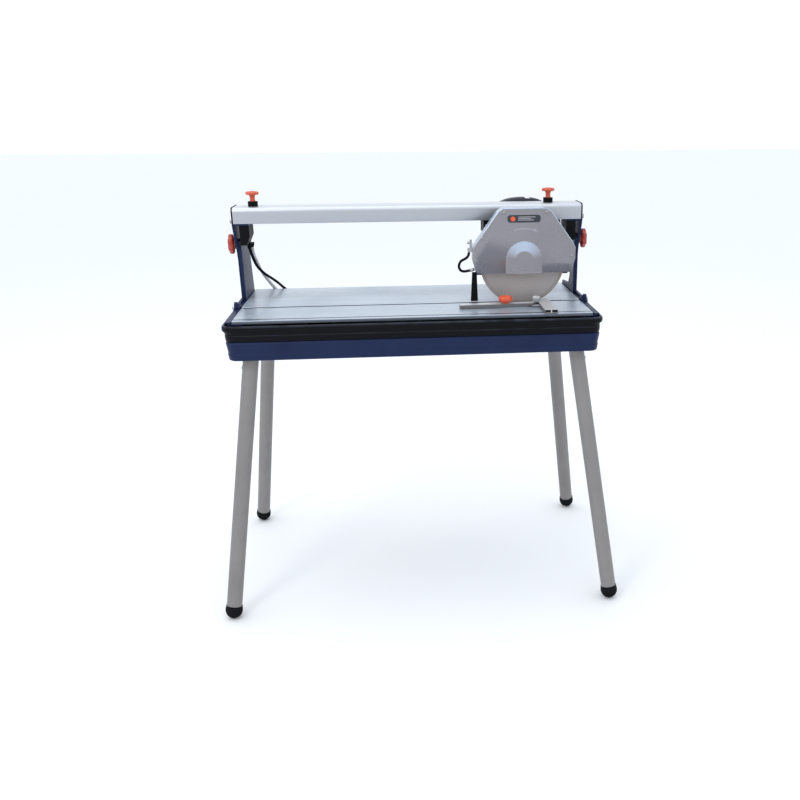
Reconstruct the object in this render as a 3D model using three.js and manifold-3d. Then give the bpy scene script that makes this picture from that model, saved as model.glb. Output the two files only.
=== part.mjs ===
// Bridge tile cutter: a wet saw whose head slides along a rail above a slotted table.
// Millimetres, +Z up, X along the rail, Y from front to back, origin on the floor.
import * as THREE from 'three';
import { mergeVertices } from 'three/addons/utils/BufferGeometryUtils.js';
import Module from 'manifold-3d';

const wasm = await Module();
wasm.setup();

// ---------- driving dimensions ----------
const gap = 0.3; // clearance kept between neighbouring pieces
const tableHeight = 680;
const table = { halfX: 395, halfY: 195, depth: 7, skin: 2.2 };
const slot = { y: -47, half: 6 }; // the blade's slot and the bevel axis lie on this line
const channel = { y: -180, mouth: 2.6, half: 7, floor: 1.6 }; // T channel that guides the fence
const tub = { rimZ: -8, rimHeight: 13, rimX: 418, rimY: 216, shelfZ: -43, wall: 3, floorZ: -80 };
const skirt = { topZ: -43.3, bottomZ: -85, sheet: 2.5, halfX: 409, halfY: 207, flare: 4 };
const basinHole = { halfX: 336, halfY: 189 }; // opening in the stand's shelf for the tub's basin
const leg = { radius: 17.5, wall: 2, topX: 366, topY: 160, footX: 444, footY: 272 };
const foot = { radius: 20.5, centreZ: -659.5 };
const endBar = { inner: 397, outer: 403, topZ: -1 };
const arm = { inner: 404, outer: 410 };
const pivot = { y: slot.y, z: 0, boss: 14, bolt: 4 };
const stud = { y: 58, z: 131, radius: 4, boss: 13 };
const armSlot = { half: 5.5, extra: 2 }; // arc slot of the left arm; extra degrees beyond the travel
const starKnobX = { face: 414, tip: 427 };
const rail = { halfX: 406, front: 20, back: 100, bottom: 180, top: 216, wall: 3.5, round: 10 };
const railSlot = { front: 45, back: 75 };
const stopKnobX = { left: -363, right: 332 };
const mount = { inner: 372, outer: 395, bottom: 131 };
const blade = { x: 256, y: slot.y, z: 94, radius: 100, thickness: 2.2 };
const motor = { radius: 50, wall: 3.5, front: -20, back: 104 };
const carriage = { left: 173, right: 358, front: 26, back: 94, top: 178, lip: 15, lipZ: 150 };
const roller = { radius: 11, bore: 4.3, width: 10, inset: 38 };
const arch = { x: 257, z: 99, outer: 44, inner: 20, rise: 8 }; // boss on the guard over the spindle
const guard = { x: 258, topZ: 215.5, bottomZ: 70, front: -68, back: -38, sheet: 2.3 };
const handle = { x: 277, halfX: 71, front: 118, back: 142, base: 172.3, top: 224, grip: 19 };
const fence = { x: 301, tube: 14, wall: 1.4, front: -196, back: -70, height: 8.6 };
const fencePivot = { x: 281, y: -101, angle: 3 }; // angle in degrees at which the bar rests

// ---------- materials ----------
const paints = {
  blue: { color: 0x26345a, roughness: 0.45, metalness: 0.1 },
  black: { color: 0x1b1d23, roughness: 0.55, metalness: 0 },
  rubber: { color: 0x17181a, roughness: 0.85, metalness: 0 },
  aluminium: { color: 0xc3cdd6, roughness: 0.38, metalness: 0.9 },
  tube: { color: 0x9a989a, roughness: 0.5, metalness: 0.5 },
  silver: { color: 0x93939b, roughness: 0.45, metalness: 0.4 },
  steel: { color: 0xb4b4b0, roughness: 0.3, metalness: 1 },
  diamond: { color: 0x8f867f, roughness: 0.5, metalness: 0.6 },
  copper: { color: 0xa8673a, roughness: 0.5, metalness: 0.7 },
  orange: { color: 0xd0562c, roughness: 0.45, metalness: 0 },
  clear: { color: 0xd5d8da, roughness: 0.2, metalness: 0 },
};

const machine = new THREE.Group();
machine.position.z = tableHeight; // inside this group Z = 0 is the table's top face

// ---------- solids ----------
function solid(geometry) {
  geometry.deleteAttribute('normal');
  geometry.deleteAttribute('uv');
  const merged = mergeVertices(geometry, 1e-4);
  return new wasm.Manifold(new wasm.Mesh({
    numProp: 3,
    vertProperties: new Float32Array(merged.attributes.position.array),
    triVerts: new Uint32Array(merged.index.array),
  }));
}

function toGeometry(body) {
  const mesh = body.getMesh();
  const geometry = new THREE.BufferGeometry();
  geometry.setAttribute('position', new THREE.BufferAttribute(mesh.vertProperties, 3));
  geometry.setIndex(new THREE.BufferAttribute(mesh.triVerts, 1));
  return geometry;
}

function addPart(name, body, paint) {
  const mesh = new THREE.Mesh(toGeometry(body), new THREE.MeshStandardMaterial(paints[paint]));
  mesh.name = name;
  machine.add(mesh);
}

function join(...bodies) {
  return bodies.reduce((sum, body) => sum.add(body));
}

function block([x0, x1], [y0, y1], [z0, z1]) {
  const geometry = new THREE.BoxGeometry(x1 - x0, y1 - y0, z1 - z0);
  geometry.translate((x0 + x1) / 2, (y0 + y1) / 2, (z0 + z1) / 2);
  return solid(geometry);
}

// Turns a geometry built along Z so that it runs along another axis.
function alongAxis(geometry, axis) {
  if (axis === 'x') geometry.rotateY(Math.PI / 2);
  if (axis === 'y') geometry.rotateX(-Math.PI / 2);
  return geometry;
}

// A round bar from one end to the other along an axis; at holds the other two coordinates.
function rod(axis, at, [from, to], radius, sides = 16) {
  const geometry = new THREE.CylinderGeometry(radius, radius, to - from, sides);
  geometry.rotateX(Math.PI / 2);
  alongAxis(geometry, axis);
  const middle = (from + to) / 2;
  if (axis === 'x') geometry.translate(middle, at[0], at[1]);
  if (axis === 'y') geometry.translate(at[0], middle, at[1]);
  if (axis === 'z') geometry.translate(at[0], at[1], middle);
  return solid(geometry);
}

// Turned piece: the profile lists [radius, height] points and its axis is Z at first.
function turned(profile, sides = 20) {
  const points = profile.map(([radius, height]) => new THREE.Vector2(radius, height));
  const geometry = new THREE.LatheGeometry(points, sides);
  geometry.rotateX(Math.PI / 2);
  return geometry;
}

function extrude(shape, length) {
  return new THREE.ExtrudeGeometry(shape, { depth: length, bevelEnabled: false, curveSegments: 10 });
}

// Prism along X from an outline of [y, z] points.
function prismX(outline, [x0, x1]) {
  const geometry = extrude(new THREE.Shape(outline.map(([y, z]) => new THREE.Vector2(y, z))), x1 - x0);
  geometry.applyMatrix4(new THREE.Matrix4().set(0, 0, 1, x0, 1, 0, 0, 0, 0, 1, 0, 0, 0, 0, 0, 1));
  return solid(geometry);
}

// Prism along Y from an outline of [x, z] points.
function prismY(outline, [y0, y1]) {
  const geometry = extrude(new THREE.Shape(outline.map(([x, z]) => new THREE.Vector2(x, z))), y1 - y0);
  geometry.applyMatrix4(new THREE.Matrix4().set(1, 0, 0, 0, 0, 0, -1, y1, 0, 1, 0, 0, 0, 0, 0, 1));
  return solid(geometry);
}

// Block with rounded corners in plan whose half sizes change from bottom to top.
function taperedBlock(bottom, top, [z0, z1], radius) {
  const shape = new THREE.Shape();
  const [x, y] = bottom;
  shape.absarc(x - radius, y - radius, radius, 0, Math.PI / 2);
  shape.absarc(radius - x, y - radius, radius, Math.PI / 2, Math.PI);
  shape.absarc(radius - x, radius - y, radius, Math.PI, Math.PI * 1.5);
  shape.absarc(x - radius, radius - y, radius, Math.PI * 1.5, Math.PI * 2);
  const settings = { depth: z1 - z0, bevelEnabled: false, curveSegments: 3 };
  const geometry = new THREE.ExtrudeGeometry(shape, settings);
  const position = geometry.attributes.position;
  for (let i = 0; i < position.count; i += 1) {
    const raised = position.getZ(i) > (z1 - z0) / 2;
    const growX = raised ? top[0] - bottom[0] : 0;
    const growY = raised ? top[1] - bottom[1] : 0;
    position.setX(i, position.getX(i) + Math.sign(position.getX(i)) * growX);
    position.setY(i, position.getY(i) + Math.sign(position.getY(i)) * growY);
  }
  geometry.translate(0, 0, z0);
  return solid(geometry);
}

// Round cord through the listed points, as one closed tube.
function cord(points, radius, steps, sides) {
  const path = new THREE.CatmullRomCurve3(points.map((p) => new THREE.Vector3(...p)), false, 'centripetal');
  const shape = new THREE.Shape();
  for (let i = 0; i < sides; i += 1) {
    const angle = (2 * Math.PI * i) / sides;
    const x = radius * Math.cos(angle);
    const y = radius * Math.sin(angle);
    if (i === 0) shape.moveTo(x, y);
    else shape.lineTo(x, y);
  }
  return solid(new THREE.ExtrudeGeometry(shape, { steps, extrudePath: path, bevelEnabled: false }));
}

// Points of an arc around a centre, from one angle in degrees to another.
function arcPoints([cx, cy], radius, from, to, steps) {
  const points = [];
  for (let i = 0; i <= steps; i += 1) {
    const angle = THREE.MathUtils.degToRad(from + ((to - from) * i) / steps);
    points.push([cx + radius * Math.cos(angle), cy + radius * Math.sin(angle)]);
  }
  return points;
}

// Mirrors an interval to the side of the machine named by sign.
function onSide(sign, [inner, outer]) {
  return sign > 0 ? [inner, outer] : [-outer, -inner];
}

const sides = [{ word: 'left', sign: -1 }, { word: 'right', sign: 1 }];

// ---------- stand ----------
const legTilt = new THREE.Vector3(
  leg.footX - leg.topX,
  leg.footY - leg.topY,
  foot.centreZ - skirt.bottomZ,
).normalize();

// A bar of the leg's slope in one corner, between two heights.
function slopingBar(signX, signY, radius, [z0, z1], sideCount) {
  const at = (z) => {
    const travel = (z - skirt.bottomZ) / legTilt.z;
    return new THREE.Vector3(
      signX * (leg.topX + legTilt.x * travel),
      signY * (leg.topY + legTilt.y * travel),
      z,
    );
  };
  const low = at(z0);
  const high = at(z1);
  const geometry = new THREE.CylinderGeometry(radius, radius, high.distanceTo(low), sideCount);
  const turn = new THREE.Quaternion().setFromUnitVectors(
    new THREE.Vector3(0, 1, 0),
    high.clone().sub(low).normalize(),
  );
  geometry.applyQuaternion(turn);
  const middle = low.clone().add(high).multiplyScalar(0.5);
  geometry.translate(middle.x, middle.y, middle.z);
  return solid(geometry);
}

const corners = [
  { name: 'front_left', x: -1, y: -1 },
  { name: 'front_right', x: 1, y: -1 },
  { name: 'rear_left', x: -1, y: 1 },
  { name: 'rear_right', x: 1, y: 1 },
];

const legTopZ = -52;
const legEndZ = foot.centreZ + 9;

function standFrame() {
  const lowHalf = [skirt.halfX, skirt.halfY];
  const highHalf = [skirt.halfX + skirt.flare, skirt.halfY + skirt.flare];
  const inset = ([x, y]) => [x - skirt.sheet, y - skirt.sheet];
  const outside = taperedBlock(lowHalf, highHalf, [skirt.bottomZ, skirt.topZ], 22);
  const inside = taperedBlock(inset(lowHalf), inset(highHalf), [skirt.bottomZ - 1, skirt.topZ + 1], 20);
  const ring = outside.subtract(inside);
  const shelfPlate = taperedBlock([411, 209], [411, 209], [skirt.topZ - skirt.sheet, skirt.topZ], 20);
  const { halfX, halfY } = basinHole;
  let body = ring.add(shelfPlate.subtract(block([-halfX, halfX], [-halfY, halfY], [-90, -40])));
  const hem = taperedBlock([408, 206], [408, 206], [skirt.bottomZ, skirt.bottomZ + 2], 20);
  body = body.add(hem.subtract(block([-394, 394], [-192, 192], [-90, -80])));
  for (const corner of corners) {
    body = body.add(slopingBar(corner.x, corner.y, 22, [skirt.bottomZ + 6, skirt.topZ - 1], 16));
  }
  body = body.subtract(block([-450, 450], [-250, 250], [skirt.topZ, 0]));
  for (const corner of corners) {
    body = body.subtract(slopingBar(corner.x, corner.y, leg.radius + 2 * gap, [-100, legTopZ + 1], 16));
  }
  return body;
}

addPart('stand_frame', standFrame(), 'blue');
for (const corner of corners) {
  const outside = slopingBar(corner.x, corner.y, leg.radius, [legEndZ, legTopZ], 16);
  const bore = slopingBar(corner.x, corner.y, leg.radius - leg.wall, [legEndZ - 5, legTopZ + 5], 12);
  addPart(`leg_${corner.name}`, outside.subtract(bore), 'tube');
}

// Rubber ball foot with a plug that fills the tube's end.
function ballFoot(corner) {
  const plugRadius = leg.radius - leg.wall - 2 * gap;
  const plug = slopingBar(corner.x, corner.y, plugRadius, [foot.centreZ, legEndZ + 18], 12);
  const collar = slopingBar(corner.x, corner.y, foot.radius - 1, [foot.centreZ, legEndZ - gap], 16);
  const travel = (foot.centreZ - skirt.bottomZ) / legTilt.z;
  const ball = new THREE.SphereGeometry(foot.radius, 14, 8);
  ball.rotateX(Math.PI / 2);
  ball.translate(
    corner.x * (leg.topX + legTilt.x * travel),
    corner.y * (leg.topY + legTilt.y * travel),
    foot.centreZ,
  );
  const upper = block([-500, 500], [-350, 350], [legEndZ - 6, legEndZ + 40]);
  return solid(ball).subtract(upper).add(collar).add(plug);
}

for (const corner of corners) addPart(`foot_${corner.name}`, ballFoot(corner), 'rubber');

// ---------- water tub ----------
function waterTub() {
  const tray = taperedBlock([412.5, 209.5], [415.5, 212.5], [tub.shelfZ, tub.rimZ - 2], 24);
  const rimHalf = [tub.rimX, tub.rimY];
  const rim = taperedBlock(rimHalf, rimHalf, [tub.rimZ - tub.rimHeight, tub.rimZ], 26);
  const basin = taperedBlock([328, 181], [332, 185], [tub.floorZ, tub.shelfZ + 1], 18);
  const trayHollow = taperedBlock([409.5, 206.5], [412.5, 209.5], [tub.shelfZ + tub.wall, tub.rimZ + 1], 22);
  const basinHollow = taperedBlock([325, 178], [329, 182], [tub.floorZ + tub.wall, tub.shelfZ + 5], 16);
  return join(tray, rim, basin).subtract(trayHollow).subtract(basinHollow);
}

addPart('water_tub', waterTub(), 'black');

// ---------- table ----------
// Extruded plate: a thin skin with ribs below, as an outline from front to back.
function platePrism(front, back, ribs) {
  const { halfX, depth, skin } = table;
  let body = block([-halfX, halfX], [front, back], [-skin, 0]);
  for (const y of [front + 1.5, back - 1.5, ...ribs]) {
    body = body.add(block([-halfX, halfX], [y - 1.5, y + 1.5], [-depth, -skin + 0.5]));
  }
  return body;
}

function tableFront() {
  const { halfX, depth, skin } = table;
  const outer = channel.half + 2;
  const box = block([-halfX, halfX], [channel.y - outer, channel.y + outer], [-depth, -skin + 0.5]);
  const plate = platePrism(-table.halfY, slot.y - slot.half, [-140, -110, -80]).add(box);
  const cavity = block(
    [-halfX - 1, halfX + 1],
    [channel.y - channel.half, channel.y + channel.half],
    [-depth + channel.floor, -skin],
  );
  const mouth = block(
    [-halfX - 1, halfX + 1],
    [channel.y - channel.mouth, channel.y + channel.mouth],
    [-skin - 1, 1],
  );
  return plate.subtract(cavity).subtract(mouth);
}

addPart('table_front', tableFront(), 'aluminium');
addPart(
  'table_rear',
  platePrism(slot.y + slot.half, table.halfY, [-10, 25, 60, 95, 130, 165]),
  'aluminium',
);

// Outline of the upright that stands on the end bar; the left one is a wide plate.
const uprightOutline = {
  left: [[46, -12], [192, -12], [170, 110], [158, 124], [80, 124], [46, 124]],
  right: [[46, -12], [192, -12], [188, 8], [110, 14], [95, 34], [88, 124], [46, 124]],
};

function endBarBody(side) {
  const width = onSide(side.sign, [endBar.inner, endBar.outer]);
  const web = block(width, [-200, 196], [tub.shelfZ + tub.wall + gap, endBar.topZ]);
  const ledge = block(onSide(side.sign, [372, endBar.inner + 1]), [-194, 194], [-10, -table.depth - gap]);
  const frontCap = block(onSide(side.sign, [endBar.inner, 409]), [-200, -70], [endBar.topZ - 3, endBar.topZ]);
  const rearCap = block(onSide(side.sign, [endBar.inner, 409]), [142, 196], [endBar.topZ - 3, endBar.topZ]);
  const boss = rod('x', [pivot.y, pivot.z], width, 11);
  const upright = prismX(uprightOutline[side.word], width);
  const studBoss = rod('x', [stud.y, stud.z], width, stud.boss);
  let body = join(web, ledge, frontCap, rearCap, boss, upright, studBoss);
  body = body.subtract(rod('x', [pivot.y, pivot.z], onSide(side.sign, [390, 410]), pivot.bolt + gap));
  if (side.word === 'left') {
    body = body.subtract(rod('x', [stud.y, stud.z], onSide(side.sign, [390, 410]), stud.radius + gap));
  }
  return body;
}

for (const side of sides) {
  addPart(`table_end_bar_${side.word}`, endBarBody(side), 'blue');
}

// ---------- bevel frame: arms, mounts, rail ----------
const studReach = Math.hypot(stud.y - pivot.y, stud.z - pivot.z);
const studAngle = THREE.MathUtils.radToDeg(Math.atan2(stud.z - pivot.z, stud.y - pivot.y));
const bevelTravel = 45;

// Curved strip around the bevel axis between two radii, ends given in degrees.
function arcStrip(inner, outer, from, to, width) {
  const centre = [pivot.y, pivot.z];
  const outline = [
    ...arcPoints(centre, outer, from, to, 10),
    ...arcPoints(centre, inner, to, from, 10),
  ];
  return prismX(outline, width);
}

function bevelArm(side) {
  const width = onSide(side.sign, [arm.inner, arm.outer]);
  const cutWidth = onSide(side.sign, [arm.inner - 2, arm.outer + 2]);
  const flangeX = onSide(side.sign, [mount.inner, arm.outer]);
  const flange = block(flangeX, [rail.front + 2, rail.back - 2], [rail.bottom - 4, rail.bottom - gap]);
  const boss = rod('x', [pivot.y, pivot.z], width, pivot.boss);
  const runBack = side.word === 'left' ? 136 : 98;
  const run = block(width, [pivot.y, runBack], [-14, 4]);
  const post = prismX(
    [[62, -14], [98, -14], [98, 178], [24, 178], [26, 168], [56, 112], [62, 92]],
    width,
  );
  let body = join(boss, run, post, flange);
  if (side.word === 'left') {
    const strip = arcStrip(studReach - stud.boss, studReach + stud.boss, 1, studAngle + 5, width);
    const start = studAngle - bevelTravel - armSlot.extra;
    const end = studAngle + armSlot.extra;
    const cut = arcStrip(studReach - armSlot.half, studReach + armSlot.half, start, end, cutWidth);
    body = body.add(strip).subtract(cut);
  } else {
    body = body.add(rod('x', [stud.y, stud.z], width, stud.boss));
    body = body.subtract(rod('x', [stud.y, stud.z], cutWidth, stud.radius + gap));
  }
  return body.subtract(rod('x', [pivot.y, pivot.z], cutWidth, pivot.bolt + gap));
}

// Cast block below each end of the rail; its lower inside corner is cut away.
function railMount(side) {
  const top = rail.bottom - 4 - gap;
  const outline = [
    [mount.inner, top],
    [mount.outer, top],
    [mount.outer, mount.bottom],
    [mount.inner + 9, mount.bottom],
    [mount.inner, mount.bottom + 20],
  ];
  return prismY(outline.map(([x, z]) => [side.sign * x, z]), [24, 96]);
}

// Rail section as [y, z]: rounded on top in front, less so behind.
function railOutline(inset) {
  const { front, back, bottom, top, round } = rail;
  const rearRound = 5;
  return [
    [front + inset, bottom + inset],
    [back - inset, bottom + inset],
    ...arcPoints([back - rearRound, top - rearRound], rearRound - inset, 0, 90, 3),
    ...arcPoints([front + round, top - round], round - inset, 90, 180, 5),
  ];
}

function guideRail() {
  const length = [-rail.halfX, rail.halfX];
  const cut = [-rail.halfX - 2, rail.halfX + 2];
  let body = prismX(railOutline(0), length).subtract(prismX(railOutline(rail.wall), cut));
  body = body.subtract(block(cut, [railSlot.front, railSlot.back], [rail.bottom - 2, rail.bottom + 6]));
  for (const x of Object.values(stopKnobX)) {
    body = body.subtract(rod('z', [x, 60], [rail.top - 6, rail.top + 4], 4.4));
  }
  return body;
}

for (const side of sides) {
  addPart(`bevel_arm_${side.word}`, bevelArm(side), 'blue');
  addPart(`rail_mount_${side.word}`, railMount(side), 'black');
  const shank = rod('x', [pivot.y, pivot.z], onSide(side.sign, [endBar.inner, 412]), pivot.bolt);
  const boltHead = rod('x', [pivot.y, pivot.z], onSide(side.sign, [arm.outer + gap, 415]), 7.5, 12);
  addPart(`pivot_bolt_${side.word}`, shank.add(boltHead), 'steel');
  const cap = prismX(railOutline(-1), onSide(side.sign, [rail.halfX + gap, rail.halfX + 3.3]));
  const capCut = block([-500, 500], [0, 120], [rail.bottom - 5, rail.bottom]);
  addPart(`rail_cap_${side.word}`, cap.subtract(capCut), 'rubber');
}
addPart('guide_rail', guideRail(), 'aluminium');

// ---------- knobs ----------
// Round knob head with flutes around its edge, turned about Z.
function flutedHead(radius, [z0, z1], flutes, fluteRadius) {
  const soft = 2;
  let body = solid(turned([
    [0, z0], [radius - soft, z0], [radius, z0 + soft], [radius, z1 - soft], [radius - soft, z1], [0, z1],
  ], 18));
  for (let i = 0; i < flutes; i += 1) {
    const angle = (2 * Math.PI * (i + 0.5)) / flutes;
    const reach = radius + fluteRadius * 0.45;
    const at = [reach * Math.cos(angle), reach * Math.sin(angle)];
    body = body.subtract(rod('z', at, [z0 - 1, z1 + 1], fluteRadius, 7));
  }
  return body;
}

function stopKnob(x, screwEnd) {
  const collarTop = rail.top + gap + 11;
  const head = flutedHead(15.6, [collarTop + 14, collarTop + 23], 4, 6);
  const stem = rod('z', [0, 0], [collarTop + gap, collarTop + 15], 7);
  const screw = rod('z', [0, 0], [screwEnd, collarTop + 1], 3.9, 10);
  return join(head, stem, screw).translate([x, 60, 0]);
}

function knobCollar(x) {
  const span = [rail.top + gap, rail.top + gap + 11];
  return rod('z', [x, 60], span, 12.4, 6).subtract(rod('z', [x, 60], [200, 240], 4.4));
}

for (const side of sides) {
  const x = stopKnobX[side.word];
  const screwEnd = side.word === 'left' ? 203 : 208;
  addPart(`stop_knob_${side.word}`, stopKnob(x, screwEnd), 'orange');
  addPart(`knob_collar_${side.word}`, knobCollar(x), 'rubber');
}

// Star knob whose axis lies along X, with a blind bore for its stud.
function starKnob(side) {
  const head = flutedHead(23, [starKnobX.face, starKnobX.tip], 6, 7);
  const hub = rod('z', [0, 0], [arm.outer + gap, starKnobX.face + 1], 11);
  const bore = rod('z', [0, 0], [arm.outer, starKnobX.face + gap], stud.radius + gap, 12);
  const knob = head.add(hub).subtract(bore).rotate([0, 90 * side.sign, 0]);
  return knob.translate([0, stud.y, stud.z]);
}

// Stud of a star knob; the left one reaches through the arm's slot into the upright.
function starStud(side) {
  const start = side.word === 'left' ? endBar.inner + 1 : arm.inner + gap;
  return rod('x', [stud.y, stud.z], onSide(side.sign, [start, starKnobX.face]), stud.radius, 12);
}

for (const side of sides) {
  addPart(`star_knob_${side.word}`, starKnob(side), 'orange');
  addPart(`star_stud_${side.word}`, starStud(side), 'steel');
}

// ---------- cutting head ----------
const rollerX = [carriage.left + roller.inset, carriage.right - roller.inset];
const rollerZ = rail.bottom + rail.wall + gap + roller.radius;
const rollerY = { front: [28, 28 + roller.width], rear: [92 - roller.width, 92] };

function carriageBody() {
  const { left, right, front, back, top, lip, lipZ } = carriage;
  const deck = block([left, right], [front, back], [top - 10, top]);
  const lips = [left, right - lip].map((x) => block([x, x + lip], [front, back], [lipZ, top]));
  const neck = block([left + 17, right - 17], [railSlot.front + 6, railSlot.back - 6], [top - 1, 206]);
  const saddle = block([blade.x - 34, blade.x + 34], [-5, 95], [118, top - 1]);
  const tailX = [handle.x - handle.halfX - 2, handle.x + handle.halfX + 2];
  const tail = block(tailX, [back - 1, handle.back], [top - 18, handle.base - gap]);
  let body = join(deck, ...lips, neck, saddle, tail);
  body = body.subtract(rod('y', [blade.x, blade.z], [-40, 150], motor.radius + 2 * gap, 32));
  for (const x of rollerX) {
    body = body.add(rod('y', [x, rollerZ], [rollerY.front[0] - 1, rollerY.rear[1] + 1], 3.9, 12));
  }
  return body;
}

function rollerBody(x, span) {
  return rod('y', [x, rollerZ], span, roller.radius, 20)
    .subtract(rod('y', [x, rollerZ], [span[0] - 1, span[1] + 1], roller.bore, 12));
}

addPart('carriage', carriageBody(), 'black');
rollerX.forEach((x, index) => {
  const end = index === 0 ? 'left' : 'right';
  addPart(`roller_front_${end}`, rollerBody(x, rollerY.front), 'steel');
  addPart(`roller_rear_${end}`, rollerBody(x, rollerY.rear), 'steel');
});

// Turned piece whose axis is the blade's axis; heights run along Y.
function onSpindle(profile, sideCount) {
  const geometry = turned(profile, sideCount);
  alongAxis(geometry, 'y');
  geometry.translate(blade.x, 0, blade.z);
  return solid(geometry);
}

function motorHousing() {
  const { radius, wall, front, back } = motor;
  const shell = [[radius - wall, front], [radius, front], [radius, back], [radius - wall, back]];
  return onSpindle([...shell, shell[0]], 32);
}

function endShield() {
  const { radius, front } = motor;
  const plateFront = -34.2;
  return onSpindle([
    [9, plateFront], [radius, plateFront], [radius, front - gap], [16.5, front - gap],
    [16.5, -30], [9, -30], [9, plateFront],
  ], 32);
}

function fanCover() {
  const { radius, wall, back } = motor;
  const end = back + 24;
  let body = onSpindle([
    [radius - wall, back + gap], [radius, back + gap], [radius, end - 6], [radius - 6, end], [0, end],
    [0, end - 3], [radius - wall - 5, end - 3], [radius - wall, end - 8], [radius - wall, back + gap],
  ], 32);
  for (const z of [-24, -8, 8, 24]) {
    const slit = [blade.z + z - 2, blade.z + z + 2];
    body = body.subtract(block([blade.x - 26, blade.x + 26], [end - 5, end + 2], slit));
  }
  return body;
}

// Rotor with its shaft and cooling fan, threaded at the blade end.
function rotorBody() {
  const shaft = onSpindle([
    [0, -60.5], [6, -60.5], [6, -55], [8, -53], [8, 6], [24, 6], [24, 74], [8, 74], [8, 92], [0, 92],
  ], 16);
  let fan = onSpindle([[7, 80], [40, 80], [40, 82], [12, 82], [12, 91], [7, 91], [7, 80]], 18);
  const vaneCount = 6;
  for (let i = 0; i < vaneCount; i += 1) {
    const vane = block([10, 39], [81.5, 96], [-1, 1]).rotate([0, (360 * i) / vaneCount, 0]);
    fan = fan.add(vane.translate([blade.x, 0, blade.z]));
  }
  return shaft.add(fan);
}

addPart('motor_housing', motorHousing(), 'black');
addPart('motor_end_shield', endShield(), 'silver');
addPart('fan_cover', fanCover(), 'black');
addPart('motor_rotor', rotorBody(), 'steel');
addPart('motor_stator', onSpindle([[26, 8], [46, 8], [46, 72], [26, 72], [26, 8]], 28), 'copper');
addPart(
  'front_bearing',
  onSpindle([[8.3, -29.7], [16.2, -29.7], [16.2, -20.6], [8.3, -20.6], [8.3, -29.7]], 20),
  'steel',
);

function bladeDisc() {
  const half = blade.thickness / 2;
  return onSpindle([
    [8.3, blade.y - half], [blade.radius, blade.y - half],
    [blade.radius, blade.y + half], [8.3, blade.y + half], [8.3, blade.y - half],
  ], 48);
}

const flangeFace = blade.thickness / 2 + gap;
addPart('blade', bladeDisc(), 'diamond');
addPart(
  'blade_flange_inner',
  onSpindle([
    [8.3, blade.y + flangeFace], [26, blade.y + flangeFace], [26, -42], [12, -38.5], [8.3, -38.5],
    [8.3, blade.y + flangeFace],
  ], 24),
  'steel',
);

// Outer flange and its nut, screwed onto the shaft as one clamping piece.
function bladeClamp() {
  const face = blade.y - flangeFace;
  const flange = onSpindle([
    [8.6, face - 4.5], [26, face - 2.5], [26, face], [8.6, face], [8.6, face - 4.5],
  ], 24);
  const nut = rod('y', [blade.x, blade.z], [-62, face - 2], 13, 6);
  const bore = rod('y', [blade.x, blade.z], [-64, face + 1], 8.5);
  return flange.add(nut).subtract(bore);
}

addPart('blade_clamp', bladeClamp(), 'steel');

// ---------- blade guard ----------
// Guard outline as [x, z] with the same slope on both sides; inset moves every wall inward.
function guardOutline(inset, bottom) {
  const side = (sign) => [
    [sign * (111 - inset), bottom],
    [sign * (119.5 - inset), 100],
    [sign * (119.5 - inset), 126],
    [sign * (111 - inset * 0.9), 141],
    [sign * (62 - inset * 0.6), 208 - inset * 0.7],
    [sign * (50 - inset * 0.5), guard.topZ - inset],
  ];
  const outline = [...side(1), ...side(-1).reverse()];
  return outline.map(([x, z]) => [x + guard.x, z]);
}

// Half-round boss with sloping sides over the spindle, open towards the guard's lower edge.
function archBoss() {
  const layer = (radius, depth) => prismY([
    [arch.x + radius, guard.bottomZ],
    ...arcPoints([arch.x, arch.z], radius, 0, 180, 16),
    [arch.x - radius, guard.bottomZ],
  ], depth);
  const foot = layer(arch.outer, [guard.front, guard.front + 0.5]);
  const crown = layer(arch.inner, [guard.front - arch.rise, guard.front - arch.rise + 0.5]);
  return wasm.Manifold.hull([foot, crown]);
}

function guardCover() {
  const { front, back, sheet, bottomZ } = guard;
  const outside = prismY(guardOutline(0, bottomZ), [front, back]);
  const inside = prismY(guardOutline(sheet, bottomZ - 5), [front + 2.8, back + 1]);
  return outside.subtract(inside).add(archBoss());
}

function guardBack() {
  const inset = guard.sheet + 1;
  const outside = prismY(guardOutline(inset, 62), [guard.front + 3.4, -34.7]);
  const inside = prismY(guardOutline(inset + 2.2, 40), [guard.front + 1, -37.2]);
  return outside.subtract(inside).subtract(rod('y', [blade.x, blade.z], [-40, -30], 14, 20));
}

addPart('guard_cover', guardCover(), 'silver');
addPart('guard_back', guardBack(), 'black');

// Rubber flap that hangs behind the blade's line, clear of the table.
addPart(
  'splash_flap',
  prismY([[135.5, 2.4], [152, 2.4], [149.8, 61], [149.8, 69.6], [139, 69.6]], [-46, -38]),
  'rubber',
);

function guardHose() {
  return cord([
    [131, -54, 117.2], [129.6, -54.4, 110.4], [125.2, -55.2, 105], [119, -56.3, 101.6], [112.8, -57.2, 98.4],
    [108.4, -57.8, 92.6], [107, -58, 86], [108.6, -57.7, 80], [113, -56.8, 75.6], [119, -55, 74],
    [128, -52, 74.5], [136, -50, 76],
  ], 3, 20, 8);
}

addPart('guard_hose', guardHose(), 'rubber');
addPart(
  'hose_clip',
  join(
    block([127.5, 137.6], [-58, -50], [118, 127]),
    block([132.5, 137.6], [-57, -51], [126, 146]),
    rod('x', [-54, 139], [127, 134], 3.2, 12),
  ),
  'steel',
);

// ---------- handle and switch ----------
// Arched grip: a broad arch outline in [x, z] with a window for the hand.
function gripOutline(halfX, base, top) {
  const points = [];
  const count = 18;
  for (let i = 0; i <= count; i += 1) {
    const angle = (Math.PI * i) / count;
    const rise = Math.sqrt(Math.max(Math.sin(angle), 0));
    points.push([handle.x + halfX * Math.cos(angle), base + (top - base) * rise]);
  }
  return points;
}

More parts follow.
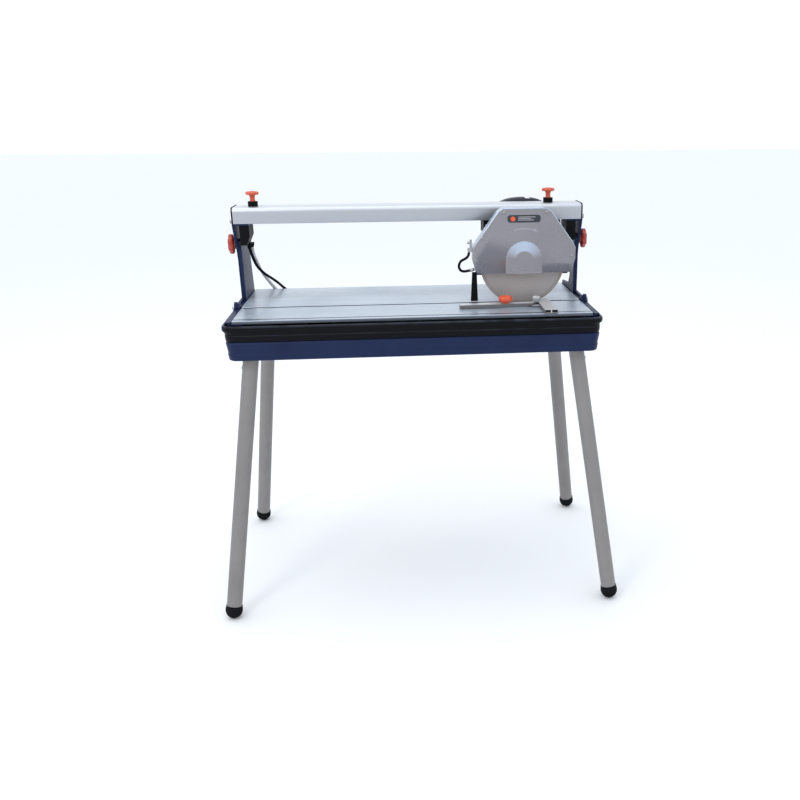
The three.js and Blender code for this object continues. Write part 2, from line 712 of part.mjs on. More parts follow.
function handleBody() {
  const { halfX, front, back, base, top, grip } = handle;
  const outer = prismY(gripOutline(halfX, base, top), [front, back]);
  const window = prismY(gripOutline(halfX - grip, base + 4, top - grip + 1), [front - 1, back + 1]);
  return outer.subtract(window);
}

function switchBox() {
  const { x, back } = handle;
  const box = block([x - 30, x + 30], [back + gap, back + 18], [148, 171.5]);
  const gland = rod('x', [back + 9, 160], [x + 29, x + 44], 6.5, 14);
  return box.add(gland).subtract(block([x - 10, x + 10], [back + 12, back + 20], [152.5, 167.5]));
}

addPart('handle', handleBody(), 'rubber');
addPart('switch_box', switchBox(), 'black');
addPart('switch_rocker', rockerBody(), 'orange');

// Rocker rests with its lower edge pressed in; it turns about its own middle.
function rockerBody() {
  const y = handle.back + 12.4;
  const z = 160;
  const outline = [[y, z - 5.5], [y + 3.6, z - 5.5], [y + 5, z], [y + 7.6, z + 5.5], [y + 3, z + 5.5]];
  return prismX(outline, [handle.x - 9, handle.x + 9]);
}

// ---------- pump, cable and hose ----------
function pumpBody() {
  const body = block([-264, -204], [118, 165], [tub.floorZ + tub.wall + gap, -15]);
  return body.add(rod('y', [-221, -34], [160, 172], 5.5, 12));
}

addPart('pump', pumpBody(), 'black');
addPart(
  'pump_cable',
  cord([
    [-381, 66, 130.2], [-381, 68, 119], [-380, 75, 108.5], [-378, 88, 92], [-373, 107, 71], [-363, 132, 51],
    [-349, 161, 33], [-336, 184, 17], [-326, 199, 3], [-311, 203, -9], [-291, 201.5, -16], [-272, 194, -20],
    [-258, 183, -22], [-250.6, 174, -22], [-249, 166.3, -22],
  ], 3.3, 36, 8),
  'rubber',
);
addPart(
  'water_hose',
  cord([
    [-378, 86, 130.2], [-378, 88.5, 116], [-377.5, 96.5, 102], [-375, 113, 84], [-371, 138, 61],
    [-365, 166, 38], [-358, 187, 20], [-349, 201, 3], [-334, 203, -14], [-314, 203, -26],
    [-291, 202.5, -32.5], [-270, 202.5, -34.3], [-251.5, 202.5, -34.3], [-236, 198.3, -34.3],
    [-225.2, 188, -34.3], [-221.7, 180, -34.3], [-221, 172.8, -34.3],
  ], 4, 36, 8),
  'clear',
);

// ---------- fence ----------
function fenceArm() {
  const half = fence.tube + 0.6;
  const base = gap;
  const top = base + fence.height;
  let body = block([fence.x - half, fence.x + half], [fence.front, fence.back], [base, top]);
  for (const sign of [-1, 1]) {
    const centre = fence.x + sign * (fence.tube / 2 + 0.6);
    const bore = [centre - fence.tube / 2 + fence.wall, centre + fence.tube / 2 - fence.wall];
    const boreZ = [base + fence.wall, top - fence.wall];
    body = body.subtract(block(bore, [fence.front - 2, fence.back + 2], boreZ));
  }
  const shelf = block([fencePivot.x - 11, fence.x + half], [-121, -88], [base, base + 3]);
  const neck = block([fence.x - 12, fence.x + 12], [channel.y - 2.2, channel.y + 2.2], [-3.5, base + 0.5]);
  const tee = block([fence.x - 12, fence.x + 12], [channel.y - 6.4, channel.y + 6.4], [-5, -2.6]);
  const hole = rod('z', [fencePivot.x, fencePivot.y], [-1, 8], 3.4, 16);
  return join(body, shelf, neck, tee).subtract(hole);
}

// The bar turns with its angle about the thumb screw's axis.
function aroundFencePivot(body) {
  return body.rotate([0, 0, fencePivot.angle]).translate([fencePivot.x, fencePivot.y, 0]);
}

const barBase = 3 + 2 * gap;
const barTop = barBase + 5;
const knobReach = -72;

// Straight bar with a narrow nose round the pivot; a foot strip brings it down to the table.
function fenceBar() {
  const outline = [[-178, -14], [-11, -14], [-1, -5], [4, -2], [4, 2], [1, 5], [-178, 5]];
  const shape = new THREE.Shape(outline.map(([x, y]) => new THREE.Vector2(x, y)));
  const geometry = extrude(shape, barTop - barBase);
  geometry.translate(0, 0, barBase);
  const foot = block([-178, -24], [-14, 5], [gap, barBase + 0.5]);
  let body = solid(geometry).add(foot);
  for (const at of [[0, 0], [knobReach, -4]]) {
    body = body.subtract(rod('z', at, [0, 12], 3.4, 16));
  }
  return aroundFencePivot(body);
}

function fenceThumbScrew() {
  const head = flutedHead(9.3, [barTop + 2 * gap, 23], 6, 2);
  const screw = rod('z', [0, 0], [gap + 0.4, barTop + 1], 3, 10);
  return head.add(screw).translate([fencePivot.x, fencePivot.y, 0]);
}

function fenceKnob() {
  const skirtPiece = rod('z', [0, 0], [barTop + gap, barTop + 4], 7.5);
  const head = flutedHead(16, [barTop + 3.5, 25], 6, 5);
  const screw = rod('z', [0, 0], [gap + 0.4, barTop + 2], 3, 10);
  return aroundFencePivot(join(skirtPiece, head, screw).translate([knobReach, -4, 0]));
}

addPart('fence_arm', fenceArm(), 'silver');
addPart('fence_bar', fenceBar(), 'aluminium');
addPart('fence_thumb_screw', fenceThumbScrew(), 'steel');
addPart('fence_knob', fenceKnob(), 'orange');

const cutter = new THREE.Group();
cutter.add(machine);
export default cutter;
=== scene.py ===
"""Looks of a bridge tile cutter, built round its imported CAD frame, in metres, +Z up."""
import math

import bmesh
import bpy
from mathutils import Matrix, Vector


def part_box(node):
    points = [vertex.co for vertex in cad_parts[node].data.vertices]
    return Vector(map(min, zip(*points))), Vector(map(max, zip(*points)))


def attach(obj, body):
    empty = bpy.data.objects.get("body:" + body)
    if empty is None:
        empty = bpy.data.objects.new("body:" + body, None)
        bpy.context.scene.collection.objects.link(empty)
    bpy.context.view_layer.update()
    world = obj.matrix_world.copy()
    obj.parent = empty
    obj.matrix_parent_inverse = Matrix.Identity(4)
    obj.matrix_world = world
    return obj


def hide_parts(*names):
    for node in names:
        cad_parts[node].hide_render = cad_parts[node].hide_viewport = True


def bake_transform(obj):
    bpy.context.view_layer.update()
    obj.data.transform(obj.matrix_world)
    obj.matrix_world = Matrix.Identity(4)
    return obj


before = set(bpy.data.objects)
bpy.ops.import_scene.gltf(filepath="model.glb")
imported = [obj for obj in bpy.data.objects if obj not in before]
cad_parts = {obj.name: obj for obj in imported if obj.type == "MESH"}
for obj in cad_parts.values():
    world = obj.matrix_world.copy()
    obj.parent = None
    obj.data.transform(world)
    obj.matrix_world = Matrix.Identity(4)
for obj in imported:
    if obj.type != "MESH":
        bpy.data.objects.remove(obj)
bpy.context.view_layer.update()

# ---------- places taken from the frame ----------
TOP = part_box("table_rear")[1].z  # the table's upper face
FULL_TURN = 2 * math.pi
AXES = {"x": Vector((1, 0, 0)), "y": Vector((0, 1, 0)), "z": Vector((0, 0, 1))}
SIDES = {"left": -1, "right": 1}
CORNERS = ["front_left", "front_right", "rear_left", "rear_right"]
HEX_ANGLES = [FULL_TURN * i / 6 for i in range(6)]


def low(node):
    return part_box(node)[0]


def high(node):
    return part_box(node)[1]


def middle(node):
    return (low(node) + high(node)) / 2


# ---------- camera ----------
CAMERA_PLACE = Vector((-0.0494, -2.1280, 1.0877))
CAMERA_YAW = 0.0988  # turned towards +X
CAMERA_PITCH = 0.3669  # tipped down
CAMERA_ROLL = -0.0048
CAMERA_LENS = 40.02
CAMERA_SHIFT = (-0.1011, 0.0735)


def add_camera():
    forward = Vector((
        math.sin(CAMERA_YAW) * math.cos(CAMERA_PITCH),
        math.cos(CAMERA_YAW) * math.cos(CAMERA_PITCH),
        -math.sin(CAMERA_PITCH),
    ))
    level = Vector((math.cos(CAMERA_YAW), -math.sin(CAMERA_YAW), 0))
    above = level.cross(forward)
    right = math.cos(CAMERA_ROLL) * level + math.sin(CAMERA_ROLL) * above
    up = math.cos(CAMERA_ROLL) * above - math.sin(CAMERA_ROLL) * level
    data = bpy.data.cameras.new("camera")
    data.lens = CAMERA_LENS
    data.shift_x, data.shift_y = CAMERA_SHIFT
    camera = bpy.data.objects.new("camera", data)
    rotation = Matrix((right, up, -forward)).transposed().to_4x4()
    camera.matrix_world = Matrix.Translation(CAMERA_PLACE) @ rotation
    bpy.context.scene.collection.objects.link(camera)
    bpy.context.scene.camera = camera


# ---------- materials ----------
def paint(red, green, blue):
    """An sRGB colour, 0 to 255, as the linear colour that a shader takes."""
    def linear(value):
        share = value / 255
        return share / 12.92 if share <= 0.04045 else ((share + 0.055) / 1.055) ** 2.4
    return (linear(red), linear(green), linear(blue), 1)


class Look:
    """A procedural material: a Principled shader and the nodes that feed it."""

    def __init__(self, name, **sockets):
        self.material = bpy.data.materials.new(name)
        self.material.use_nodes = True
        self.tree = self.material.node_tree
        self.shader = self.tree.nodes["Principled BSDF"]
        self.place = self.tree.nodes.new("ShaderNodeTexCoord").outputs["Object"]
        for socket, value in sockets.items():
            self.shader.inputs[socket.replace("_", " ")].default_value = value

    def node(self, kind, inputs, **settings):
        """Adds a node, sets its settings, and links or fills its inputs."""
        made = self.tree.nodes.new("ShaderNode" + kind)
        for setting, value in settings.items():
            setattr(made, setting, value)
        for socket, value in inputs.items():
            if isinstance(value, bpy.types.NodeSocket):
                self.tree.links.new(value, made.inputs[socket])
            else:
                made.inputs[socket].default_value = value
        return made

    def noise(self, scale, stretch=(1, 1, 1), detail=3.0, roughness=0.5):
        """Cloudy noise; stretch above 1 packs it more tightly along that axis."""
        mapped = self.node("Mapping", {"Vector": self.place, "Scale": stretch}).outputs[0]
        inputs = {"Vector": mapped, "Scale": scale, "Detail": detail, "Roughness": roughness}
        return self.node("TexNoise", inputs).outputs[0]

    def grains(self, scale):
        """Distance to the nearest of scattered points, for specks and moulded grain."""
        inputs = {"Vector": self.place, "Scale": scale}
        return self.node("TexVoronoi", inputs).outputs["Distance"]

    def range(self, value, lowest, highest, start=0.0, end=1.0):
        """Maps start to end onto lowest to highest, and holds the ends."""
        limits = {"From Min": start, "From Max": end, "To Min": lowest, "To Max": highest}
        return self.node("MapRange", {"Value": value, **limits}).outputs[0]

    def blend(self, share, first, second):
        """Mixes two colours by a share, each a value or a socket."""
        inputs = {"Factor": share, "A": first, "B": second}
        made = self.tree.nodes.new("ShaderNodeMix")
        made.data_type = "RGBA"
        for socket in made.inputs:
            value = inputs.get(socket.name)
            if value is None or socket.type not in ("RGBA", "VALUE"):
                continue
            if (socket.type == "VALUE") != (socket.name == "Factor"):
                continue
            if isinstance(value, bpy.types.NodeSocket):
                self.tree.links.new(value, socket)
            else:
                socket.default_value = value
        return next(socket for socket in made.outputs if socket.type == "RGBA")

    def math(self, operation, first, second):
        return self.node("Math", {0: first, 1: second}, operation=operation).outputs[0]

    def edges(self, radius=0.0012):
        """Near 1 along the piece's edges and 0 on its faces."""
        rounded = self.node("Bevel", {"Radius": radius}, samples=4).outputs[0]
        true = self.node("NewGeometry", {}).outputs["Normal"]
        dot = self.node("VectorMath", {0: rounded, 1: true}, operation="DOT_PRODUCT").outputs["Value"]
        return self.range(dot, 1.0, 0.0, start=0.86, end=0.995)

    def upward(self, start=0.4, end=1.0):
        """1 on faces that look up and 0 on walls and undersides."""
        normal = self.node("NewGeometry", {}).outputs["Normal"]
        split = self.node("SeparateXYZ", {0: normal}).outputs["Z"]
        return self.range(split, 0.0, 1.0, start, end)

    def colour(self, socket):
        self.tree.links.new(socket, self.shader.inputs["Base Color"])

    def roughness(self, socket):
        self.tree.links.new(socket, self.shader.inputs["Roughness"])

    def spread(self, noise, lowest=0.0, highest=1.0):
        """Widens the middle of a noise, where most of its values lie, to a full range."""
        return self.range(noise, lowest, highest, 0.3, 0.7)

    def gloss(self, noise, lowest, highest):
        self.roughness(self.spread(noise, lowest, highest))

    def bump(self, height, distance, strength=1.0):
        inputs = {"Height": height, "Distance": distance, "Strength": strength}
        previous = self.shader.inputs["Normal"]
        if previous.is_linked:
            inputs["Normal"] = previous.links[0].from_socket
        self.tree.links.new(self.node("Bump", inputs).outputs[0], previous)


def enamel(name, base, pale, coat):
    """Satin enamel on sheet steel: orange peel, faint scuffs and worn edges."""
    look = Look(name, Coat_Weight=coat, Coat_Roughness=0.3, Specular_IOR_Level=0.12)
    cloud = look.noise(9, detail=5)
    body = look.blend(look.range(cloud, 0.0, 0.5, 0.35, 0.7), base, pale)
    chips = look.range(look.noise(160, detail=4), 0.0, 0.6, 0.6, 0.72)
    worn = look.math("MULTIPLY", look.edges(), chips)
    look.colour(look.blend(worn, body, paint(118, 124, 138)))
    scuffs = look.noise(45, stretch=(1, 6, 6), detail=6)
    look.gloss(scuffs, 0.3, 0.52)
    look.bump(look.noise(420, detail=2), 0.00008, 0.5)
    return look.material


def moulded(name, base, pale, grain, gloss=(0.42, 0.62)):
    """Moulded plastic or rubber with a fine spark-eroded grain; faces that look up are paler, partly from
    dust and partly as a painted highlight.
    """
    look = Look(name, Specular_IOR_Level=0.08)
    # Paler tops: part dust, part painted highlight where light falls on upward faces.
    facing_up = look.upward(0.1, 0.8)
    dust_and_sheen = look.math("MULTIPLY", facing_up, look.range(look.noise(30, detail=6), 0.1, 0.6, 0.35, 0.8))
    # Edges paler from real rubbing, joined to the dusty, painted-highlight tops.
    paling = look.math("MAXIMUM", dust_and_sheen, look.math("MULTIPLY", look.edges(0.0009), 0.3))
    look.colour(look.blend(paling, base, pale))
    look.gloss(look.noise(60, detail=4), *gloss)
    look.bump(look.grains(grain), 0.00012, 0.55)
    look.bump(look.noise(14, detail=2), 0.0004, 0.15)
    return look.material


def drawn_metal(name, base, pale, stretch, gloss, metallic, line=0.00003, wall=1.0):
    """Drawn or brushed metal; stretch sets the fine lines' direction, wall darkens the upright faces as
    painted shade against lit faces that tip up.
    """
    look = Look(name, Metallic=metallic)
    lines = look.noise(12, stretch=stretch, detail=6, roughness=0.65)
    stains = look.noise(6, detail=6, roughness=0.6)
    toned = look.blend(look.spread(lines), base, pale)
    stained = look.blend(look.range(stains, 0.0, 0.22, 0.5, 0.75), toned, paint(128, 132, 140))
    # Painted shade: upright faces take the base colour darkened by wall, faces that tip up keep the lit
    # colour.
    shaded_walls = tuple(value * wall for value in base[:3]) + (1,)
    look.colour(look.blend(look.upward(0.1, 0.45), shaded_walls, stained))
    mixed = look.math("ADD", look.math("MULTIPLY", lines, 0.6), look.math("MULTIPLY", stains, 0.4))
    look.roughness(look.range(mixed, *gloss, 0.35, 0.65))
    look.bump(lines, line, 0.6)
    return look.material


def turned_metal(name, base, pale, centre, gloss, metallic, pitch):
    """Metal with fine machining rings round an axis along Y."""
    look = Look(name, Metallic=metallic)
    inputs = {"Vector": look.place, "Location": (-centre.x, -centre.y, -centre.z)}
    centred = look.node("Mapping", inputs).outputs[0]
    flat = look.node("VectorMath", {0: centred, 1: (1, 0, 1)}, operation="MULTIPLY").outputs[0]
    radius = look.node("VectorMath", {0: flat}, operation="LENGTH").outputs["Value"]
    inputs = {"W": radius, "Scale": pitch, "Detail": 4}
    rings = look.node("TexNoise", inputs, noise_dimensions="1D").outputs[0]
    film = look.noise(28, detail=6, roughness=0.65)
    toned = look.blend(look.spread(rings), base, pale)
    look.colour(look.blend(look.range(film, 0.0, 0.5, 0.45, 0.75), toned, paint(166, 154, 146)))
    look.gloss(rings, *gloss)
    look.bump(rings, 0.00002, 0.5)
    return look.material


def powder_coat(name, base, pale, metallic, gloss, paling=0.25, painted_sky=0.0):
    """Fine metallic powder coat: a sparkle and a few marks, with a painted highlight along the edges and a
    painted sky reflection on faces that tip up.
    """
    look = Look(name, Metallic=metallic)
    sparkle = look.range(look.grains(1500), 0.0, 1.0, 0.1, 0.6)
    cloud = look.spread(look.noise(7, detail=5))
    toned = look.blend(look.math("MULTIPLY", look.math("ADD", sparkle, cloud), 0.5), base, pale)
    marks = look.range(look.noise(26, stretch=(1, 1, 0.2), detail=7, roughness=0.7), 0.0, 0.12, 0.62, 0.9)
    marked = look.blend(marks, toned, paint(128, 127, 130))
    # Painted highlight: edges turn pale, by the share passed in.
    edge = look.math("MULTIPLY", look.edges(0.0016), paling)
    # Painted sky reflection: faces that tip up turn pale blue.
    painted_sky_share = look.math("MULTIPLY", look.upward(0.06, 0.34), painted_sky)
    lit = look.blend(painted_sky_share, marked, paint(186, 200, 222))
    look.colour(look.blend(edge, lit, paint(226, 228, 234)))
    look.gloss(look.noise(50, detail=4), *gloss)
    look.bump(look.noise(900, detail=1), 0.00004, 0.5)
    return look.material


def glossy_plastic(name, base, deep):
    look = Look(name, Specular_IOR_Level=0.5, Coat_Weight=0.15, Coat_Roughness=0.2)
    look.colour(look.blend(look.range(look.noise(80, detail=4), 0.0, 1.0, 0.3, 0.75), base, deep))
    look.gloss(look.noise(120, detail=5), 0.3, 0.5)
    look.bump(look.grains(900), 0.00005, 0.35)
    return look.material


def milky_hose(name):
    look = Look(name, Transmission_Weight=0.2, IOR=1.42)
    look.colour(look.blend(look.noise(60, detail=4), paint(238, 238, 240), paint(220, 222, 226)))
    look.gloss(look.noise(150, detail=3), 0.18, 0.36)
    look.bump(look.noise(300, detail=2), 0.00005, 0.4)
    return look.material


def copper_coil(name):
    look = Look(name, Metallic=0.8)
    wires = look.noise(30, stretch=(1, 30, 1), detail=3)
    look.colour(look.blend(look.spread(wires), paint(150, 84, 44), paint(206, 140, 84)))
    look.gloss(wires, 0.3, 0.55)
    look.bump(wires, 0.0003, 0.7)
    return look.material


def grit(name):
    """Diamond grit bonded in metal, at the blade's rim."""
    look = Look(name, Metallic=0.5)
    specks = look.range(look.grains(2600), 0.0, 1.0, 0.1, 0.55)
    look.colour(look.blend(specks, paint(132, 124, 119), paint(166, 158, 152)))
    look.gloss(look.noise(400, detail=3), 0.5, 0.8)
    look.bump(specks, 0.00015, 0.8)
    return look.material


spindle_centre = middle("blade")
LOOKS = {
    "blue": enamel("blue_enamel", paint(22, 34, 66), paint(31, 44, 80), 0.03),
    "black": moulded("black_plastic", paint(15, 16, 20), paint(56, 60, 68), 1400),
    # The tub's pale colour serves both its dust and the painted highlight on its rim.
    "tub": moulded("tub_plastic", paint(14, 15, 19), paint(86, 92, 106), 1100, (0.36, 0.52)),
    "rubber": moulded("black_rubber", paint(17, 18, 20), paint(46, 48, 52), 1800, (0.6, 0.82)),
    # wall below 1 paints shade on the upright faces: darkest on the fence, strong on the table, slight on
    # the rail.
    "table": drawn_metal(
        "table_aluminium", paint(160, 171, 186), paint(198, 207, 218),
        stretch=(0.3, 60, 60), gloss=(0.24, 0.42), metallic=0.8, line=0.00006, wall=0.5,
    ),
    "rail": drawn_metal(
        "rail_aluminium", paint(188, 192, 198), paint(214, 218, 224),
        stretch=(0.2, 30, 30), gloss=(0.3, 0.46), metallic=0.7, wall=0.9,
    ),
    "fence": drawn_metal(
        "fence_metal", paint(190, 189, 190), paint(214, 214, 216),
        stretch=(1, 20, 20), gloss=(0.3, 0.5), metallic=0.4, wall=0.3,
    ),
    "leg": powder_coat("leg_grey", paint(118, 115, 114), paint(140, 137, 136), 0.35, (0.36, 0.55)),
    # The guard takes a strong painted edge highlight and a painted sky reflection on its upward slopes.
    "guard": powder_coat(
        "guard_silver", paint(128, 126, 131), paint(146, 144, 149),
        metallic=0.6, gloss=(0.24, 0.36), paling=0.9, painted_sky=0.85,
    ),
    "steel": drawn_metal(
        "zinc_steel", paint(176, 178, 178), paint(212, 212, 208),
        stretch=(8, 8, 8), gloss=(0.22, 0.42), metallic=1.0,
    ),
    "blade": turned_metal(
        "blade_steel", paint(148, 142, 141), paint(172, 166, 165),
        spindle_centre, gloss=(0.34, 0.52), metallic=0.35, pitch=900,
    ),
    "grit": grit("blade_grit"),
    "copper": copper_coil("copper_winding"),
    "orange": glossy_plastic("orange_plastic", paint(214, 92, 60), paint(182, 66, 40)),
    "red": glossy_plastic("red_plastic", paint(178, 60, 46), paint(146, 44, 34)),
    "bright_orange": glossy_plastic("bright_orange_plastic", paint(228, 92, 52), paint(206, 74, 38)),
    "hose": milky_hose("milky_hose"),
    "badge": glossy_plastic("badge_dark", paint(34, 40, 54), paint(26, 30, 42)),
}


# ---------- mesh tools ----------
def add_bevel(obj, width, angle=32):
    modifier = obj.modifiers.new("soft edges", "BEVEL")
    modifier.width = width
    modifier.segments = 3
    modifier.limit_method = "ANGLE"
    modifier.angle_limit = math.radians(angle)
    modifier.harden_normals = True


def piece(name, bm, body, look, bevel=0.0, replaces=(), sharp=32, ride=True):
    """Makes a bmesh into a finished piece that rides on a CAD body."""
    bmesh.ops.remove_doubles(bm, verts=bm.verts, dist=1e-6)
    bmesh.ops.recalc_face_normals(bm, faces=bm.faces)
    mesh = bpy.data.meshes.new(name)
    bm.to_mesh(mesh)
    bm.free()
    mesh.materials.append(LOOKS[look])
    mesh.shade_smooth()
    obj = bpy.data.objects.new(name, mesh)
    bpy.context.scene.collection.objects.link(obj)
    if bevel:
        add_bevel(obj, bevel)
    else:
        mesh.set_sharp_from_angle(angle=math.radians(sharp))
    if ride:
        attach(obj, body)
    if replaces:
        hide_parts(*replaces)
    return obj


def keep(node, look, bevel=0.0006):
    """Gives a CAD node that stays as it is its material, soft edges and smooth round faces."""
    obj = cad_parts[node]
    mesh = obj.data
    if "custom_normal" in mesh.attributes:
        mesh.attributes.remove(mesh.attributes["custom_normal"])
    mesh.materials.clear()
    mesh.materials.append(LOOKS[look])
    mesh.polygons.foreach_set("use_smooth", [True] * len(mesh.polygons))
    weld = obj.modifiers.new("weld", "WELD")
    weld.merge_threshold = 1e-5
    if bevel:
        add_bevel(obj, bevel)
    else:
        split = obj.modifiers.new("sharp edges", "EDGE_SPLIT")
        split.split_angle = math.radians(32)
    return obj


def aim(bm, vertices, origin, direction):
    """Turns vertices built along +Z to a vector or a named axis, and moves them to an origin."""
    along = AXES[direction] if isinstance(direction, str) else direction
    turn = AXES["z"].rotation_difference(along.normalized()).to_matrix()
    bmesh.ops.rotate(bm, verts=vertices, matrix=turn, cent=(0, 0, 0))
    bmesh.ops.translate(bm, verts=vertices, vec=origin)


def skin(bm, rings, loop=False):
    """Joins rings of equally many vertices with faces; a ring of one vertex is a pole."""
    pairs = list(zip(rings, rings[1:]))
    if loop:
        pairs.append((rings[-1], rings[0]))
    for first, second in pairs:
        count = max(len(first), len(second))
        for i in range(count):
            j = (i + 1) % count
            corners = [
                first[i % len(first)], first[j % len(first)],
                second[j % len(second)], second[i % len(second)],
            ]
            distinct = list(dict.fromkeys(corners))
            if len(distinct) > 2:
                bm.faces.new(distinct)


def lathe(bm, profile, origin, direction, segments=48, lobes=0, depth=0.0):
    """Turns (radius, height) points round a direction; lobes wave the radius by a share of it."""
    rings = []
    for radius, height in profile:
        ring = []
        count = 1 if radius < 1e-7 else segments
        for i in range(count):
            angle = FULL_TURN * i / count
            reach = radius * (1 + depth * math.cos(lobes * angle))
            ring.append(bm.verts.new((reach * math.cos(angle), reach * math.sin(angle), height)))
        rings.append(ring)
    skin(bm, rings, loop=profile[0] == profile[-1] and profile[0][0] > 1e-7)
    aim(bm, [vertex for ring in rings for vertex in ring], origin, direction)
    return bm


def turned(profile, origin, direction, segments=48, lobes=0, depth=0.0):
    return lathe(bmesh.new(), profile, origin, direction, segments, lobes, depth)


def prism(outline, span, axis, bm=None):
    """Extrudes an outline along an axis: (y, z) along x, (x, z) along y, (x, y) along z."""
    bm = bm or bmesh.new()
    order = {
        "x": lambda a, b, along: (along, a, b),
        "y": lambda a, b, along: (a, along, b),
        "z": lambda a, b, along: (a, b, along),
    }
    rings = [[bm.verts.new(order[axis](a, b, along)) for a, b in outline] for along in span]
    skin(bm, rings)
    bm.faces.new(rings[0])
    bm.faces.new(rings[1])
    return bm


def box(lowest, highest, bm=None):
    outline = [
        (lowest[0], lowest[1]), (highest[0], lowest[1]), (highest[0], highest[1]), (lowest[0], highest[1]),
    ]
    return prism(outline, (lowest[2], highest[2]), "z", bm)


def arc(centre, radius, start, end, steps):
    """Points of an arc, from one angle in degrees to another."""
    points = []
    for i in range(steps + 1):
        angle = math.radians(start + (end - start) * i / steps)
        points.append((centre[0] + radius * math.cos(angle), centre[1] + radius * math.sin(angle)))
    return points


def rounded_rectangle(half_x, half_y, radius, steps=7):
    points = []
    for sign_x, sign_y, start in ((1, 1, 0), (-1, 1, 90), (-1, -1, 180), (1, -1, 270)):
        centre = (sign_x * (half_x - radius), sign_y * (half_y - radius))
        points += arc(centre, radius, start, start + 90, steps)
    return points


def rectangle_loft(sections, loop=False, caps=False):
    """Skins rounded rectangles given as (half_x, half_y, radius, z)."""
    bm = bmesh.new()
    rings = []
    for half_x, half_y, radius, z in sections:
        rings.append([bm.verts.new((x, y, z)) for x, y in rounded_rectangle(half_x, half_y, radius)])
    skin(bm, rings, loop)
    if caps:
        bm.faces.new(rings[0])
        bm.faces.new(rings[-1])
    return bm


def stations(half_x, half_y, steps):
    """Rounded rectangles for a loft, from (outset, corner radius, z) round one half size."""
    return [(half_x + outset, half_y + outset, corner, z) for outset, corner, z in steps]


def smooth_path(points, spacing):
    """Evenly spaced points along a centripetal Catmull-Rom curve through the given points."""
    route = [Vector(point) for point in points]
    route = [2 * route[0] - route[1], *route, 2 * route[-1] - route[-2]]
    fine = []
    for before, start, end, after in zip(route, route[1:], route[2:], route[3:]):
        steps = ((before, start), (start, end), (end, after))
        first, second, third = (max(math.sqrt((b - a).length), 1e-4) for a, b in steps)
        chord = (end - start) / second
        leave = second * ((start - before) / first - (end - before) / (first + second) + chord)
        arrive = second * (chord - (after - start) / (second + third) + (after - end) / third)
        bend = -3 * start + 3 * end - 2 * leave - arrive
        twist = 2 * start - 2 * end + leave + arrive
        for i in range(16):
            t = i / 16
            fine.append(start + leave * t + bend * t * t + twist * t**3)
    fine.append(route[-2])
    return resampled(fine, spacing)


def resampled(points, spacing):
    """Points at even steps along a line of points, its ends included."""
    reach = [0.0]
    for a, b in zip(points, points[1:]):
        reach.append(reach[-1] + (b - a).length)
    count = max(2, round(reach[-1] / spacing))
    even = []
    index = 0
    for i in range(count + 1):
        target = reach[-1] * i / count
        while index < len(points) - 2 and reach[index + 1] < target:
            index += 1
        share = (target - reach[index]) / max(reach[index + 1] - reach[index], 1e-9)
        even.append(points[index].lerp(points[index + 1], min(1.0, share)))
    return even


def sweep(path, section, scale=lambda share: 1.0):
    """Carries a closed section of (side, up) points along a path; scale grows it by the share passed."""
    bm = bmesh.new()
    tangent = (path[1] - path[0]).normalized()
    side = tangent.orthogonal().normalized()
    if abs(tangent.y) < 0.9:
        side = (AXES["y"] - tangent * tangent.y).normalized()
    rings = []
    last = len(path) - 1
    for i, point in enumerate(path):
        following = (path[min(i + 1, last)] - path[max(i - 1, 0)]).normalized()
        side = (side - following * side.dot(following)).normalized()
        up = following.cross(side)
        grow = scale(i / last)
        rings.append([bm.verts.new(point + side * a * grow + up * b * grow) for a, b in section])
    skin(bm, rings)
    bm.faces.new(rings[0])
    bm.faces.new(rings[-1])
    return bm


def circle(radius, sides=20):
    return arc((0, 0), radius, 0, 360 * (sides - 1) / sides, sides - 1)


# ---------- cords, on the routes that the frame's own cords follow ----------
CABLE_ROUTE = [
    (-0.381, 0.066, 0.8102), (-0.381, 0.068, 0.799), (-0.380, 0.075, 0.7885), (-0.378, 0.088, 0.772),
    (-0.373, 0.107, 0.751), (-0.363, 0.132, 0.731), (-0.349, 0.161, 0.713), (-0.336, 0.184, 0.697),
    (-0.326, 0.199, 0.683), (-0.311, 0.203, 0.671), (-0.291, 0.2015, 0.664), (-0.272, 0.194, 0.660),
    (-0.258, 0.183, 0.658), (-0.2506, 0.174, 0.658), (-0.249, 0.1663, 0.658),
]
HOSE_ROUTE = [
    (-0.378, 0.086, 0.8102), (-0.378, 0.0885, 0.796), (-0.3775, 0.0965, 0.782), (-0.375, 0.113, 0.764),
    (-0.371, 0.138, 0.741), (-0.365, 0.166, 0.718), (-0.358, 0.187, 0.700), (-0.349, 0.201, 0.683),
    (-0.334, 0.203, 0.666), (-0.314, 0.203, 0.654), (-0.291, 0.2025, 0.6475), (-0.270, 0.2025, 0.6457),
    (-0.2515, 0.2025, 0.6457), (-0.236, 0.1983, 0.6457), (-0.2252, 0.188, 0.6457), (-0.2217, 0.180, 0.6457),
    (-0.221, 0.1728, 0.6457),
]
GUARD_HOSE_ROUTE = [
    (0.131, -0.054, 0.7972), (0.1296, -0.0544, 0.7904), (0.1252, -0.0552, 0.785), (0.119, -0.0563, 0.7816),
    (0.1128, -0.0572, 0.7784), (0.1084, -0.0578, 0.7726), (0.107, -0.058, 0.766), (0.1086, -0.0577, 0.760),
    (0.113, -0.0568, 0.7556), (0.119, -0.055, 0.754), (0.128, -0.052, 0.7545), (0.136, -0.050, 0.756),
]


CORD_SPACING = 0.0025
BOOT_RIB = 0.0022


def add_cord(name, route, diameter, look, body):
    """A round cord between two fittings; with no body it rides on neither part and runs from the bevel frame
    to the stand.
    """
    path = smooth_path(route, CORD_SPACING)
    tube = sweep(path, circle(diameter / 2))
    cord = piece(name + "_run", tube, body, look, replaces=(name,), ride=bool(body))
    if not body:
        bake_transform(cord)
    return path


